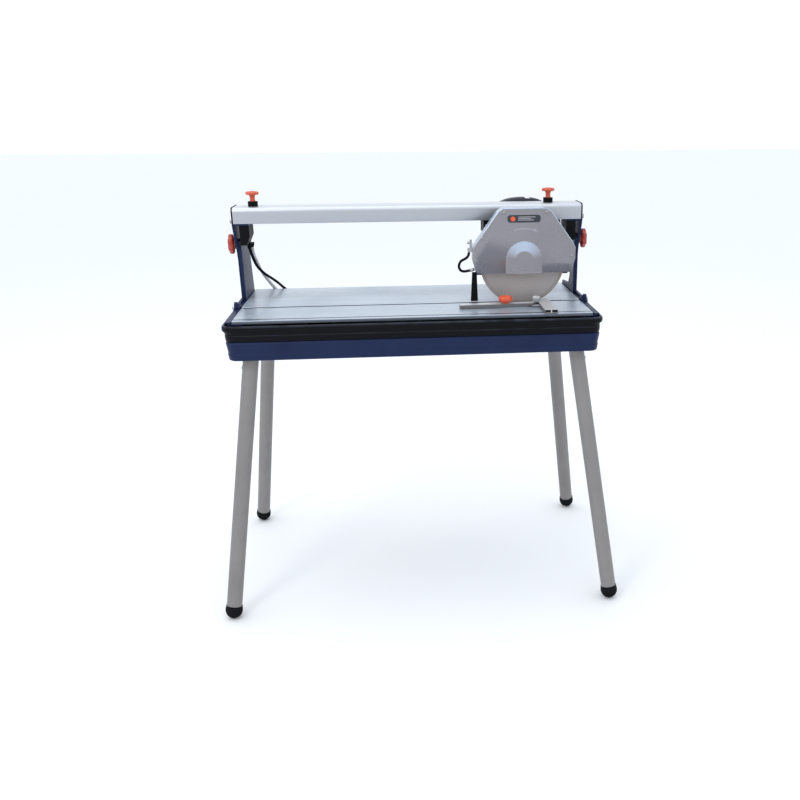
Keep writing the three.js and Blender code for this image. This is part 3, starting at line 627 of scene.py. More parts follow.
def add_boot(name, path, radius, length, body):
    """A tapered strain relief with rings, along the first stretch of a path."""
    stretch = [point for i, point in enumerate(path) if i * CORD_SPACING <= length]
    stretch = resampled(stretch, 0.001)

    def scale(share):
        ring = 0.93 if int(share * length / BOOT_RIB) % 2 else 1.0
        return (1.0 - 0.32 * share) * ring

    piece(name, sweep(stretch, circle(radius), scale), body, "rubber")


def add_cords():
    cable = add_cord("pump_cable", CABLE_ROUTE, 0.0066, "rubber", None)
    hose = add_cord("water_hose", HOSE_ROUTE, 0.008, "hose", None)
    loop = add_cord("guard_hose", GUARD_HOSE_ROUTE, 0.006, "rubber", "cutting_head")
    add_boot("pump_cable_boot", cable, 0.0062, 0.0145, "bevel_frame")
    add_boot("water_hose_boot", hose, 0.0066, 0.0105, "bevel_frame")
    add_boot("pump_cable_entry", cable[::-1], 0.006, 0.013, "stand")
    end, before = loop[-1], loop[-3]
    along = (end - before).normalized()
    barb = [
        (0.0, -0.004), (0.0038, -0.004), (0.0042, -0.001), (0.0034, 0.0), (0.0042, 0.003), (0.0034, 0.004),
        (0.0034, 0.0075), (0.0, 0.0075),
    ]
    piece("hose_barb", turned(barb, end, along, 24), "cutting_head", "steel")


# ---------- stand ----------
LEG_TOP = Vector((0.366, 0.160, TOP - 0.085))
LEG_FOOT = Vector((0.444, 0.272, 0.0205))
LEG_RADIUS = 0.0175
LEG_WALL = 0.0018
LEG_START = 0.0095  # height of the tube's lower end above the foot's centre
FOOT_RADIUS = 0.0205
FOOT_WAIST = 0.0199  # the ball is a little narrower across than along the leg
SKIRT = {"half_x": 0.409, "half_y": 0.207, "flare": 0.004, "sheet": 0.0023, "corner": 0.022, "hem": 0.015}
BASIN = {"half_x": 0.332, "half_y": 0.185, "corner": 0.018}


def leg_line(node):
    """Foot centre and upward direction of the leg in one corner."""
    sign = Vector((math.copysign(1, middle(node).x), math.copysign(1, middle(node).y), 1))
    foot = LEG_FOOT * sign
    return foot, (LEG_TOP * sign - foot).normalized()


def add_leg(corner):
    foot, up = leg_line("leg_" + corner)
    start = LEG_START / up.z
    end = (high("leg_" + corner).z - 0.001 - foot.z) / up.z - LEG_RADIUS * 0.2
    outer, inner = LEG_RADIUS, LEG_RADIUS - LEG_WALL
    profile = [
        (inner, start), (outer - 0.0005, start), (outer, start + 0.0006), (outer, end - 0.0006),
        (outer - 0.0005, end), (inner, end), (inner, start),
    ]
    piece("tube_" + corner, turned(profile, foot, up, 56), "stand", "leg", replaces=("leg_" + corner,))
    press_pin = [(0.0, 0.0), (0.0035, 0.0), (0.0035, 0.0008), (0.0026, 0.0019), (0.0, 0.0022)]
    outward = Vector((math.copysign(1, foot.x), 0, 0))
    outward = (outward - up * outward.dot(up)).normalized()
    place = foot + up * (end - 0.062) + outward * (LEG_RADIUS - 0.0003)
    piece("leg_pin_" + corner, turned(press_pin, place, outward, 20), "stand", "steel")


def add_foot(corner):
    """Ball of black rubber with a ribbed belt and a collar that closes the tube."""
    foot, up = leg_line("leg_" + corner)
    profile = [(0.0, -FOOT_RADIUS)]
    steps = 26
    for i in range(1, steps):
        angle = math.radians(-90 + 132 * i / steps)
        groove = 0.0009 if i > 9 and i % 3 == 0 else 0.0
        across = (FOOT_WAIST - groove) * math.cos(angle)
        profile.append((across, (FOOT_RADIUS - groove) * math.sin(angle)))
    collar = LEG_RADIUS + 0.0016
    top = profile[-1][1]
    profile += [(collar, top + 0.0002), (collar, top + 0.004)]
    profile += [(collar - 0.0012, top + 0.0052), (0.0, top + 0.0052)]
    ceiling = LEG_START / up.z - 0.0002
    profile = [(radius, min(level, ceiling)) for radius, level in profile]
    piece("ball_" + corner, turned(profile, foot, up, 40), "stand", "rubber", replaces=("foot_" + corner,))


def add_skirt():
    """Pressed sheet frame: a flared skirt, a flat shelf round the basin and a turned-in hem."""
    half_x, half_y, corner = SKIRT["half_x"], SKIRT["half_y"], SKIRT["corner"]
    flare, sheet, hem = SKIRT["flare"], SKIRT["sheet"], SKIRT["hem"]
    bottom, top = low("stand_frame").z, high("stand_frame").z
    outside = stations(half_x, half_y, [
        (-0.001, corner, bottom), (0.0, corner, bottom + 0.001), (0.0015, corner, bottom + 0.014),
        (0.0005, corner, bottom + 0.0155), (flare - 0.0004, corner, top - 0.0035),
        (flare - 0.0016, corner, top - 0.0012), (flare - 0.0042, corner - 0.003, top),
    ])
    shelf = stations(BASIN["half_x"], BASIN["half_y"], [
        (0.0045, BASIN["corner"], top), (0.0045, BASIN["corner"], top - sheet),
    ])
    inside = stations(half_x, half_y, [
        (-0.001, corner - 0.004, top - sheet), (-sheet, corner - 0.002, bottom + sheet),
        (-hem, corner - 0.006, bottom + sheet), (-hem, corner - 0.006, bottom),
    ])
    shell = rectangle_loft(outside + shelf + inside, loop=True)
    piece("pressed_skirt", shell, "stand", "blue", replaces=("stand_frame",))
    for corner_name in CORNERS:
        foot, up = leg_line("leg_" + corner_name)
        start = (bottom + 0.006 - foot.z) / up.z
        end = (top - 0.009 - foot.z) / up.z
        inner, outer = LEG_RADIUS + 0.0006, LEG_RADIUS + 0.0042
        profile = [(inner, start), (outer, start), (outer, end), (inner, end), (inner, start)]
        piece("leg_socket_" + corner_name, turned(profile, foot, up, 40), "stand", "blue")


TRAY = {"half_x": 0.4115, "half_y": 0.2085, "shelf": TOP - 0.043, "wall": 0.0028}


def add_tub():
    """Moulded tub: a basin, a shelf, a tray wall with two soft steps and a rolled rim."""
    rim = high("water_tub")
    floor, shelf, wall = low("water_tub").z, TRAY["shelf"], TRAY["wall"]
    basin = (BASIN["half_x"], BASIN["half_y"])
    tray = (TRAY["half_x"], TRAY["half_y"])
    outside = stations(*basin, [
        (-0.006, 0.014, floor), (-0.004, 0.016, floor + 0.002),
        (0.0, 0.018, shelf - 0.001), (0.003, 0.018, shelf),
    ])
    outside += stations(*tray, [
        (0.0, 0.022, shelf), (0.0013, 0.024, shelf + 0.0015), (0.0021, 0.024, shelf + 0.013),
        (0.0011, 0.024, shelf + 0.0142), (0.0029, 0.024, rim.z - 0.0142),
    ])
    outside += stations(rim.x, rim.y, [
        (-0.0018, 0.025, rim.z - 0.0130), (-0.0004, 0.026, rim.z - 0.0112), (0.0, 0.026, rim.z - 0.0088),
        (0.0, 0.026, rim.z - 0.0042), (-0.0005, 0.026, rim.z - 0.0022), (-0.0016, 0.025, rim.z - 0.0006),
        (-0.0030, 0.025, rim.z), (-0.0050, 0.024, rim.z), (-0.0062, 0.023, rim.z - 0.0010),
    ])
    inside = stations(*tray, [
        (0.0035 - wall, 0.021, rim.z - 0.009), (0.0011 - wall, 0.021, shelf + wall + 0.003),
        (-0.0005 - wall, 0.019, shelf + wall),
    ])
    inside += stations(*basin, [
        (0.001, 0.017, shelf + wall), (-wall, 0.016, shelf + wall - 0.003),
        (-0.004 - wall, 0.014, floor + wall + 0.002), (-0.008 - wall, 0.012, floor + wall),
    ])
    shell = rectangle_loft(outside + inside, caps=True)
    piece("moulded_tub", shell, "stand", "tub", replaces=("water_tub",))


GROOVE_PITCH = 0.0125
GROOVE_HALF = 0.0011
GROOVE_DEPTH = 0.0007
PLATE_UNDER = TOP - 0.0024
RIB = 0.003
CHANNEL = {"from_edge": 0.015, "mouth": 0.0026, "half": 0.007, "floor": 0.0015, "wall": 0.002}


def grooved_top(front, back, keep_clear=()):
    """Top line of a table plate from front to back, with shallow grooves along it."""
    points = [(front, TOP - 0.0008), (front + 0.0008, TOP)]
    y = front + GROOVE_PITCH
    while y < back - GROOVE_PITCH * 0.6:
        if not any(abs(y - place) < half for place, half in keep_clear):
            points += [(y - GROOVE_HALF, TOP), (y - GROOVE_HALF * 0.4, TOP - GROOVE_DEPTH)]
            points += [(y + GROOVE_HALF * 0.4, TOP - GROOVE_DEPTH), (y + GROOVE_HALF, TOP)]
        y += GROOVE_PITCH
    return points + [(back - 0.0008, TOP), (back, TOP - 0.0008)]


def add_ribs(bm, node, first, pitch, count):
    """Upright ribs along the underside of a table plate."""
    lowest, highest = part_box(node)
    for i in range(count):
        y = lowest.y + first + pitch * i
        rib = [(y, lowest.z), (y + RIB, lowest.z), (y + RIB, PLATE_UNDER), (y, PLATE_UNDER)]
        prism(rib, (lowest.x, highest.x), "x", bm)


def add_table_rear():
    lowest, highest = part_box("table_rear")
    outline = grooved_top(lowest.y, highest.y)
    outline += [(highest.y, lowest.z), (highest.y - RIB, lowest.z), (highest.y - RIB, PLATE_UNDER)]
    outline += [(lowest.y + RIB, PLATE_UNDER), (lowest.y + RIB, lowest.z), (lowest.y, lowest.z)]
    bm = prism(outline, (lowest.x, highest.x), "x")
    add_ribs(bm, "table_rear", 0.031, 0.035, 6)
    piece("ribbed_plate_rear", bm, "stand", "table", replaces=("table_rear",), sharp=20)


def add_table_front():
    """Front plate with the fence's T channel; its box holds the channel's floor and rear wall too."""
    lowest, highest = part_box("table_front")
    channel = lowest.y + CHANNEL["from_edge"]
    mouth, half, wall = CHANNEL["mouth"], CHANNEL["half"], CHANNEL["wall"]
    floor = lowest.z + CHANNEL["floor"]
    top = grooved_top(lowest.y, highest.y, keep_clear=[(channel, 0.010)])
    outline = [point for point in top if point[0] < channel]
    outline += [(channel - mouth, TOP), (channel - mouth, PLATE_UNDER), (channel - half, PLATE_UNDER)]
    outline += [(channel - half, floor), (channel + half, floor)]
    outline += [(channel + half, PLATE_UNDER), (channel + mouth, PLATE_UNDER), (channel + mouth, TOP)]
    outline += [point for point in top if point[0] > channel]
    outline += [(highest.y, lowest.z), (highest.y - RIB, lowest.z), (highest.y - RIB, PLATE_UNDER)]
    outline += [(channel + half + wall, PLATE_UNDER), (channel + half + wall, lowest.z)]
    outline += [(lowest.y, lowest.z)]
    bm = prism(outline, (lowest.x, highest.x), "x")
    add_ribs(bm, "table_front", 0.0535, 0.030, 3)
    piece("ribbed_plate_front", bm, "stand", "table", replaces=("table_front",), sharp=20)


# ---------- fasteners ----------
def hex_bolt(name, seat, direction, across, height, body, replaces=()):
    """Hexagon head with a washer and a chamfered crown; the seat is where the washer rests."""
    washer = [
        (0.0, 0.0), (across * 0.78, 0.0), (across * 0.82, 0.0003), (across * 0.82, 0.0009), (0.0, 0.0012),
    ]
    bm = turned(washer, seat, direction, 32)
    corner = across / math.sqrt(3)
    rings = []
    for reach, level in ((corner, 0.0012), (corner, height - 0.0009), (corner * 0.86, height)):
        spots = [(reach * math.cos(angle), reach * math.sin(angle), level) for angle in HEX_ANGLES]
        rings.append([bm.verts.new(spot) for spot in spots])
    skin(bm, rings)
    bm.faces.new(rings[-1])
    aim(bm, [vertex for ring in rings for vertex in ring], seat, direction)
    piece(name, bm, body, "steel", replaces=replaces)


def pan_screw(name, seat, direction, radius, body):
    """Pan head screw with a dark cross on its head as painted shade for the cross recess."""
    profile = [
        (0.0, -0.0004), (radius, -0.0004), (radius, radius * 0.25), (radius * 0.8, radius * 0.52),
        (radius * 0.3, radius * 0.62), (0.0, radius * 0.62),
    ]
    piece(name, turned(profile, seat, direction, 28), body, "steel")
    # Dark cross standing in for the shade inside the recess.
    cross = bmesh.new()
    top = radius * 0.66
    for share_x, share_y in ((0.62, 0.14), (0.14, 0.62)):
        half_x, half_y = share_x * radius, share_y * radius
        box((-half_x, -half_y, top - 0.0004), (half_x, half_y, top), cross)
    aim(cross, list(cross.verts), seat, direction)
    piece(name + "_recess_shade", cross, body, "badge")


END_BAR_SCREWS = (-0.150, -0.100, 0.160)
END_BAR_FACE = 0.4032


def add_end_bar(side):
    """End bar with its screws, and the bolt on which the bevel arm turns."""
    sign = SIDES[side]
    outward = AXES["x"] * sign
    keep("table_end_bar_" + side, "blue", 0.0009)
    bolt = "pivot_bolt_" + side
    centre, face = middle(bolt), high("bevel_arm_right").x
    seat = Vector((sign * (face + 0.0003), centre.y, centre.z))
    hex_bolt("pivot_head_" + side, seat, outward, 0.0125, 0.0047, "stand", replaces=(bolt,))
    for i, y in enumerate(END_BAR_SCREWS):
        seat = Vector((sign * END_BAR_FACE, y, TOP - 0.026))
        pan_screw(f"end_bar_screw_{side}_{i + 1}", seat, outward, 0.0042, "stand")


def add_stand():
    for corner in CORNERS:
        add_leg(corner)
        add_foot(corner)
    add_skirt()
    add_tub()
    add_table_front()
    add_table_rear()
    for side in SIDES:
        add_end_bar(side)


PUMP_BACK = 0.165  # the case without its outlet and cable entry
PUMP_INSET = 0.004


def add_pump():
    """Submersible pump: rounded case, strainer bars, a lid and its screws."""
    keep("pump", "black", 0.0022)
    lowest, highest = low("pump"), high("pump")
    bars = bmesh.new()
    for i in range(9):
        x = lowest.x + 0.010 + i * 0.005
        foot, head = lowest.z + 0.008, lowest.z + 0.030
        box((x, lowest.y - 0.0008, foot), (x + 0.0022, lowest.y + 0.001, head), bars)
    piece("pump_strainer", bars, "stand", "rubber", 0.0003)
    lid_top = highest.z + 0.0014
    front_corner = (lowest.x + PUMP_INSET, lowest.y + PUMP_INSET, highest.z - 0.001)
    back_corner = (highest.x - PUMP_INSET, PUMP_BACK - PUMP_INSET, lid_top)
    piece("pump_lid", box(front_corner, back_corner), "stand", "black", 0.0012)
    for i, x in enumerate((lowest.x + 0.012, highest.x - 0.012)):
        for j, y in enumerate((lowest.y + 0.010, PUMP_BACK - 0.010)):
            pan_screw(f"pump_screw_{i}{j}", Vector((x, y, lid_top)), "z", 0.0027, "stand")


# ---------- bevel frame ----------
RAIL = {
    "front_round": 0.010, "rear_round": 0.005, "foot_round": 0.0012,
    "wall": 0.0035, "slot_front": 0.045, "slot_back": 0.075,
}
RAIL_BOLTS = ((0.033, 0.186), (0.086, 0.186), (0.060, 0.207))
BEVEL_AXIS = (-0.047, TOP)
BEVEL_RANGE = 45
STUD = {"y": 0.058, "z": TOP + 0.131, "face": 0.4103, "inner_left": 0.3982, "inner_right": 0.4045}
STUD_ARM = Vector((STUD["y"] - BEVEL_AXIS[0], STUD["z"] - BEVEL_AXIS[1]))
STUD_REACH = STUD_ARM.length
STUD_ANGLE = math.degrees(math.atan2(STUD_ARM.y, STUD_ARM.x))


def rail_skin(inset):
    """Upper part of the rail's section as (y, z), moved inwards, from its rear foot to its front one."""
    lowest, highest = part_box("guide_rail")
    front, rear, foot = RAIL["front_round"], RAIL["rear_round"], RAIL["foot_round"]
    if inset > 0:
        rear_foot = [(highest.y - inset, lowest.z + inset)]
        front_foot = [(lowest.y + inset, lowest.z + inset)]
    else:
        rear_foot = arc((highest.y - foot, lowest.z + foot), foot - inset, -90, 0, 2)
        front_foot = arc((lowest.y + foot, lowest.z + foot), foot - inset, 180, 270, 2)
    crown = arc((highest.y - rear, highest.z - rear), rear - inset, 0, 90, 6)
    crown += arc((lowest.y + front, highest.z - front), front - inset, 90, 180, 10)
    return rear_foot + crown + front_foot


def add_rail():
    lowest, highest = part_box("guide_rail")
    wall = RAIL["wall"]
    inner = rail_skin(wall)[::-1]
    outline = rail_skin(0.0)
    outline += [(RAIL["slot_front"], lowest.z), (RAIL["slot_front"], lowest.z + wall)]
    outline += inner + [(RAIL["slot_back"], lowest.z + wall), (RAIL["slot_back"], lowest.z)]
    bm = prism(outline, (lowest.x, highest.x), "x")
    piece("rail_extrusion", bm, "bevel_frame", "rail", replaces=("guide_rail",), sharp=24)
    for side in SIDES:
        span = (low("rail_cap_" + side).x, high("rail_cap_" + side).x)
        cap = prism(rail_skin(-0.001), span, "x")
        piece("end_cap_" + side, cap, "bevel_frame", "rubber", 0.0007, replaces=("rail_cap_" + side,))


def add_angle_scale():
    """Pale arc with a tick every five degrees, on the outside of the slotted left arm."""
    face = low("bevel_arm_left").x
    first, last = STUD_ANGLE - BEVEL_RANGE, STUD_ANGLE
    inner, outer = STUD_REACH + 0.0058, STUD_REACH + 0.0120
    outline = arc(BEVEL_AXIS, outer, first, last, 24) + arc(BEVEL_AXIS, inner, last, first, 24)
    piece("angle_scale", prism(outline, (face - 0.0004, face + 0.0002), "x"), "bevel_frame", "rail")
    ticks = bmesh.new()
    for i in range(BEVEL_RANGE // 5 + 1):
        angle = first + 5 * i
        length = 0.0050 if i % 3 == 0 else 0.0032
        reach = (outer - 0.0006 - length, outer - 0.0006)
        corners = arc(BEVEL_AXIS, reach[1], angle - 0.14, angle + 0.14, 1)
        corners += arc(BEVEL_AXIS, reach[0], angle + 0.14, angle - 0.14, 1)
        prism(corners, (face - 0.0007, face - 0.0003), "x", ticks)
    piece("angle_ticks", ticks, "bevel_frame", "badge")


def add_stop_knob(side):
    """T-shaped knob: a round stem on a hexagon collar under a wide, softly lobed head."""
    node = "stop_knob_" + side
    centre = middle(node)
    top = high(node).z
    collar_top = high("knob_collar_" + side).z
    start = Vector((centre.x, centre.y, 0))
    stem = [
        (0.0, collar_top - 0.003), (0.0062, collar_top - 0.003), (0.0066, collar_top + 0.0004),
        (0.0058, collar_top + 0.004), (0.0058, collar_top + 0.009), (0.0072, collar_top + 0.0138),
        (0.0, collar_top + 0.0145),
    ]
    bm = lathe(bmesh.new(), stem, start, AXES["z"], 32)
    head = [
        (0.0, top - 0.0085), (0.0120, top - 0.0085), (0.0140, top - 0.0078), (0.0146, top - 0.0050),
        (0.0143, top - 0.0028), (0.0126, top - 0.0014), (0.0090, top - 0.0010), (0.0082, top - 0.0022),
        (0.0040, top - 0.0026), (0.0034, top - 0.0004), (0.0, top),
    ]
    lathe(bm, head, start, AXES["z"], 72, 6, 0.055)
    piece("t_knob_" + side, bm, node, "orange", replaces=(node,), sharp=50)
    keep("knob_collar_" + side, "rubber", 0.0008)


def add_star_knob(side):
    """Six-lobed clamping knob on a threaded stud, with a sunk centre cap."""
    node = "star_knob_" + side
    tip = max(abs(low(node).x), abs(high(node).x))
    face = STUD["face"]
    start = Vector((0, STUD["y"], STUD["z"]))
    profile = [
        (0.0, face), (0.0098, face), (0.0106, face + 0.0038), (0.0160, face + 0.0040),
        (0.0196, face + 0.0050), (0.0209, face + 0.0075), (0.0209, tip - 0.0040), (0.0196, tip - 0.0014),
        (0.0165, tip - 0.0004), (0.0105, tip), (0.0100, tip - 0.0016), (0.0072, tip - 0.0018),
        (0.0066, tip - 0.0006), (0.0, tip - 0.0003),
    ]
    outward = AXES["x"] * SIDES[side]
    grip = turned(profile, start, outward, 96, 6, 0.095)
    piece("star_grip_" + side, grip, node, "red", replaces=(node,), sharp=50)
    inner = STUD["inner_" + side]
    profile = [(0.0, inner), (0.0032, inner)]
    turns = 14
    for i in range(turns):
        profile.append((0.0039 if i % 2 else 0.0034, inner + 0.0005 + (face - inner) * i / turns))
    profile += [(0.0034, face + 0.001), (0.0, face + 0.001)]
    stud = turned(profile, start, outward, 24)
    piece("threaded_stud_" + side, stud, node, "steel", replaces=("star_stud_" + side,))


def add_bevel_frame():
    add_rail()
    for side, sign in SIDES.items():
        keep("bevel_arm_" + side, "blue", 0.0010)
        keep("rail_mount_" + side, "black", 0.0018)
        add_stop_knob(side)
        add_star_knob(side)
        for i, (y, z) in enumerate(RAIL_BOLTS):
            seat = Vector((sign * 0.4096, y, TOP + z))
            hex_bolt(f"rail_bolt_{side}_{i + 1}", seat, AXES["x"] * sign, 0.0098, 0.0052, "bevel_frame")
    add_angle_scale()


# ---------- cutting head ----------
GUARD = {"x": 0.258, "front": -0.068, "back": -0.038, "bottom": TOP + 0.070, "sheet": 0.0023}
GUARD_SIDE = [
    (0.111, 0.070), (0.1195, 0.100), (0.1195, 0.126), (0.111, 0.141), (0.062, 0.208), (0.050, 0.2155),
]
GUARD_SCREWS = [
    (-0.047, 0.2050), (0.050, 0.2050), (-0.111, 0.100), (0.111, 0.106), (-0.0875, 0.139), (-0.0965, 0.149),
]
CLIP_BOLTS = [(0.1322, -0.0582, 0.1225), (0.1351, -0.0572, 0.1360)]
ARCH = {"x": 0.257, "z": TOP + 0.099, "outer": 0.044, "inner": 0.0200, "rise": 0.0078, "soft": 0.08}


def guard_outline():
    right = [(GUARD["x"] + x, TOP + z) for x, z in GUARD_SIDE]
    left = [(GUARD["x"] - x, TOP + z) for x, z in reversed(GUARD_SIDE)]
    return right + left


def add_guard_cover():
    """Pressed shell, open below and behind, with soft edges and an even wall."""
    outline = guard_outline()
    bm = bmesh.new()
    front = [bm.verts.new((x, GUARD["front"], z)) for x, z in outline]
    back = [bm.verts.new((x, GUARD["back"], z)) for x, z in outline]
    bm.faces.new(front)
    for i in range(len(outline) - 1):
        bm.faces.new((front[i], front[i + 1], back[i + 1], back[i]))
    shell = piece("guard_shell", bm, "cutting_head", "guard", replaces=("guard_cover",))
    shell.data.polygons.foreach_set("use_smooth", [True] * len(shell.data.polygons))
    add_bevel(shell, 0.0028, angle=60)
    wall = shell.modifiers.new("wall", "SOLIDIFY")
    wall.thickness = GUARD["sheet"]
    wall.offset = -1
    wall.use_even_offset = True


def add_guard_arch():
    """Sloping half-round boss over the spindle, flat in the middle and open towards the lower edge."""
    bm = bmesh.new()
    span = ARCH["outer"] - ARCH["inner"]
    rings = []
    soft = ARCH["soft"]
    for share in (0.0, soft * 0.5, soft, 2 * soft, 0.5, 1 - 2 * soft, 1 - soft, 1 - soft * 0.5, 1.0):
        radius = ARCH["outer"] - span * share
        gentle_start = min(share, soft) ** 2 / (2 * soft)
        gentle_end = max(share - 1 + soft, 0) ** 2 / (2 * soft)
        eased = gentle_start + max(share - soft, 0) - gentle_end
        rise = ARCH["rise"] * eased / (1 - soft)
        outline = [(ARCH["x"] + radius, GUARD["bottom"])]
        outline += arc((ARCH["x"], ARCH["z"]), radius, 0, 180, 40)
        outline += [(ARCH["x"] - radius, GUARD["bottom"])]
        y = GUARD["front"] + 0.0002 - rise
        rings.append([bm.verts.new((x, y, z)) for x, z in outline])
    skin(bm, rings)
    bm.faces.new(rings[-1])
    piece("guard_arch", bm, "cutting_head", "guard", sharp=40)


def add_turning_arrow():
    """Raised arrow that shows which way the disc turns."""
    radius, half, head_half = 0.0705, 0.0013, 0.0042
    start, end, tip = 70, 110, 63
    centre = (ARCH["x"], ARCH["z"])
    outline = arc(centre, radius + half, start, end, 20) + arc(centre, radius - half, end, start, 20)
    span = (GUARD["front"] - 0.0007, GUARD["front"] + 0.0003)
    bm = prism(outline, span, "y")
    head = [(radius + head_half, start), (radius, tip), (radius - head_half, start)]
    prism([arc(centre, reach, angle, angle, 1)[0] for reach, angle in head], span, "y", bm)
    piece("turning_arrow", bm, "cutting_head", "guard", 0.0003)


BADGE = {"left": -0.040, "right": 0.036, "bottom": TOP + 0.1835, "top": TOP + 0.2000, "round": 0.0060}
BADGE_BARS = (0.040, 0.030, 0.036)


def add_badge():
    """Plain badge: a dark rounded plate with a toothed disc and three blank bars."""
    left, right = GUARD["x"] + BADGE["left"], GUARD["x"] + BADGE["right"]
    bottom, top = BADGE["bottom"], BADGE["top"]
    centre_x, centre_z = (left + right) / 2, (bottom + top) / 2
    corners = rounded_rectangle((right - left) / 2, (top - bottom) / 2, BADGE["round"], 6)
    outline = [(centre_x + x, centre_z + z) for x, z in corners]
    face = GUARD["front"]
    plate = prism(outline, (face - 0.0006, face + 0.0002), "y")
    piece("badge_plate", plate, "cutting_head", "badge", 0.0002)
    profile = [(0.0, 0.0), (0.0054, 0.0), (0.0054, 0.0005), (0.0, 0.0005)]
    seat = Vector((left + 0.0125, face - 0.0005, centre_z))
    disc = turned(profile, seat, -AXES["y"], 96, 12, 0.06)
    piece("badge_disc", disc, "cutting_head", "bright_orange", sharp=60)
    bars = bmesh.new()
    for i, length in enumerate(BADGE_BARS):
        x, z = left + 0.024, top - 0.0050 - 0.0034 * i
        box((x, face - 0.0008, z), (x + length, face - 0.0004, z + 0.0013), bars)
    piece("badge_bars", bars, "cutting_head", "guard")


def add_guard():
    add_guard_cover()
    add_guard_arch()
    add_turning_arrow()
    add_badge()
    keep("guard_back", "black", 0.0008)
    keep("splash_flap", "rubber", 0.0007)
    keep("hose_clip", "guard", 0.0005)
    for i, (x, z) in enumerate(GUARD_SCREWS):
        seat = Vector((GUARD["x"] + x, GUARD["front"], TOP + z))
        pan_screw(f"guard_screw_{i + 1}", seat, -AXES["y"], 0.0036, "cutting_head")
    for i, (x, y, z) in enumerate(CLIP_BOLTS):
        seat = Vector((x, y, TOP + z))
        hex_bolt(f"clip_bolt_{i + 1}", seat, -AXES["y"], 0.0052, 0.0042, "cutting_head")


MOTOR = {"radius": 0.050, "root": 0.0462, "bore": 0.0450, "front": -0.020, "back": 0.104}
FIN_COUNT = 30


def fin_ring(bm, outer, y, ratio=1.0):
    """Ring of the housing's section: square fins round a thin tube."""
    ring = []
    for i in range(FIN_COUNT):
        for share, tall in ((0.0, True), (0.42, True), (0.50, False), (0.92, False)):
            angle = FULL_TURN * (i + share) / FIN_COUNT
            radius = (MOTOR["radius"] if tall else MOTOR["root"]) if outer else MOTOR["bore"]
            radius *= ratio
            x = spindle_centre.x + radius * math.cos(angle)
            z = spindle_centre.z + radius * math.sin(angle)
            ring.append(bm.verts.new((x, y, z)))
    return ring


def add_motor():
    front, back = MOTOR["front"], MOTOR["back"]
    bm = bmesh.new()
    soft, shrink = 0.0012, 0.985
    rings = [
        fin_ring(bm, True, front, shrink), fin_ring(bm, True, front + soft), fin_ring(bm, True, back - soft),
        fin_ring(bm, True, back, shrink), fin_ring(bm, False, back), fin_ring(bm, False, front),
    ]
    skin(bm, rings, loop=True)
    piece("finned_housing", bm, "cutting_head", "black", replaces=("motor_housing",), sharp=28)
    keep("motor_end_shield", "guard", 0.0008)
    keep("motor_stator", "copper", 0)
    keep("front_bearing", "steel", 0)
    keep("motor_rotor", "steel", 0.0004)
    add_fan_cover()


def add_fan_cover():
    """Domed cover with a round grille of rings and spokes over the fan."""
    start, end = low("fan_cover").y, high("fan_cover").y
    centre = Vector((spindle_centre.x, 0, spindle_centre.z))
    outer, open_radius, dome = MOTOR["radius"], 0.034, 0.008
    profile = [(outer - 0.0035, start), (outer, start), (outer, end - dome)]
    profile += arc((outer - dome, end - dome), dome, 15, 90, 5)
    profile += [(open_radius, end), (open_radius, end - 0.0022), (outer - 0.009, end - 0.0026)]
    profile += [(outer - 0.0035, end - 0.009), (outer - 0.0035, start)]
    piece("fan_dome", turned(profile, centre, "y", 72), "cutting_head", "black", replaces=("fan_cover",))
    grille = bmesh.new()
    bar = 0.0009
    for radius in (0.009, 0.0155, 0.022, 0.0285):
        ring = [(radius - bar, end - 0.0022), (radius + bar, end - 0.0022), (radius + bar, end - 0.0003)]
        ring += [(radius - bar, end - 0.0003), (radius - bar, end - 0.0022)]
        lathe(grille, ring, centre, "y", 56)
    for i in range(8):
        present = set(grille.verts)
        box((0.007, -bar, end - 0.0026), (open_radius + 0.001, bar, end - 0.0012), grille)
        spoke = [vertex for vertex in grille.verts if vertex not in present]
        turn = Matrix.Rotation(FULL_TURN * i / 8, 3, "Z")
        bmesh.ops.rotate(grille, verts=spoke, matrix=turn, cent=(0, 0, 0))
        aim(grille, spoke, centre, "y")
    hub = [(0.0, end - 0.0024), (0.0072, end - 0.0024), (0.0072, end - 0.0004), (0.0, end - 0.0002)]
    lathe(grille, hub, centre, "y", 36)
    piece("fan_grille", grille, "cutting_head", "black")


def add_blade():
    """Continuous-rim disc: a steel body, a thicker grit rim and the clamping flanges."""
    lowest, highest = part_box("blade")
    y = spindle_centre.y
    start = Vector((spindle_centre.x, 0, spindle_centre.z))
    radius = (highest.x - lowest.x) / 2
    core, bore = 0.0008, 0.0083
    front, back = y - core, y + core
    body = [
        (bore, front), (0.0305, front), (0.0308, front + 0.0001), (0.0335, front + 0.0001),
        (0.0338, front), (radius - 0.008, front), (radius - 0.008, back), (bore, back), (bore, front),
    ]
    piece("disc_body", turned(body, start, "y", 128), "spindle", "blade", replaces=("blade",))
    half = (highest.y - lowest.y) / 2
    front, back, inner = y - half, y + half, radius - 0.0082
    rim = [
        (inner, front), (radius - 0.0004, front), (radius, front + 0.0004), (radius, back - 0.0004),
        (radius - 0.0004, back), (inner, back), (inner, front),
    ]
    piece("disc_rim", turned(rim, start, "y", 128), "spindle", "grit")
    keep("blade_flange_inner", "steel", 0.0004)
    keep("blade_clamp", "steel", 0.0005)


def add_carriage():
    keep("carriage", "black", 0.0012)
    for end in ("left", "right"):
        for row in ("front", "rear"):
            keep(f"roller_{row}_{end}", "steel", 0)
    box_low, box_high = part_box("carriage")
    for i, x in enumerate((box_low.x + 0.0075, box_high.x - 0.0075)):
        for j, z in enumerate((TOP + 0.156, TOP + 0.168)):
            seat = Vector((x, 0.026, z))
            pan_screw(f"carriage_screw_{i + 1}{j + 1}", seat, -AXES["y"], 0.0030, "cutting_head")


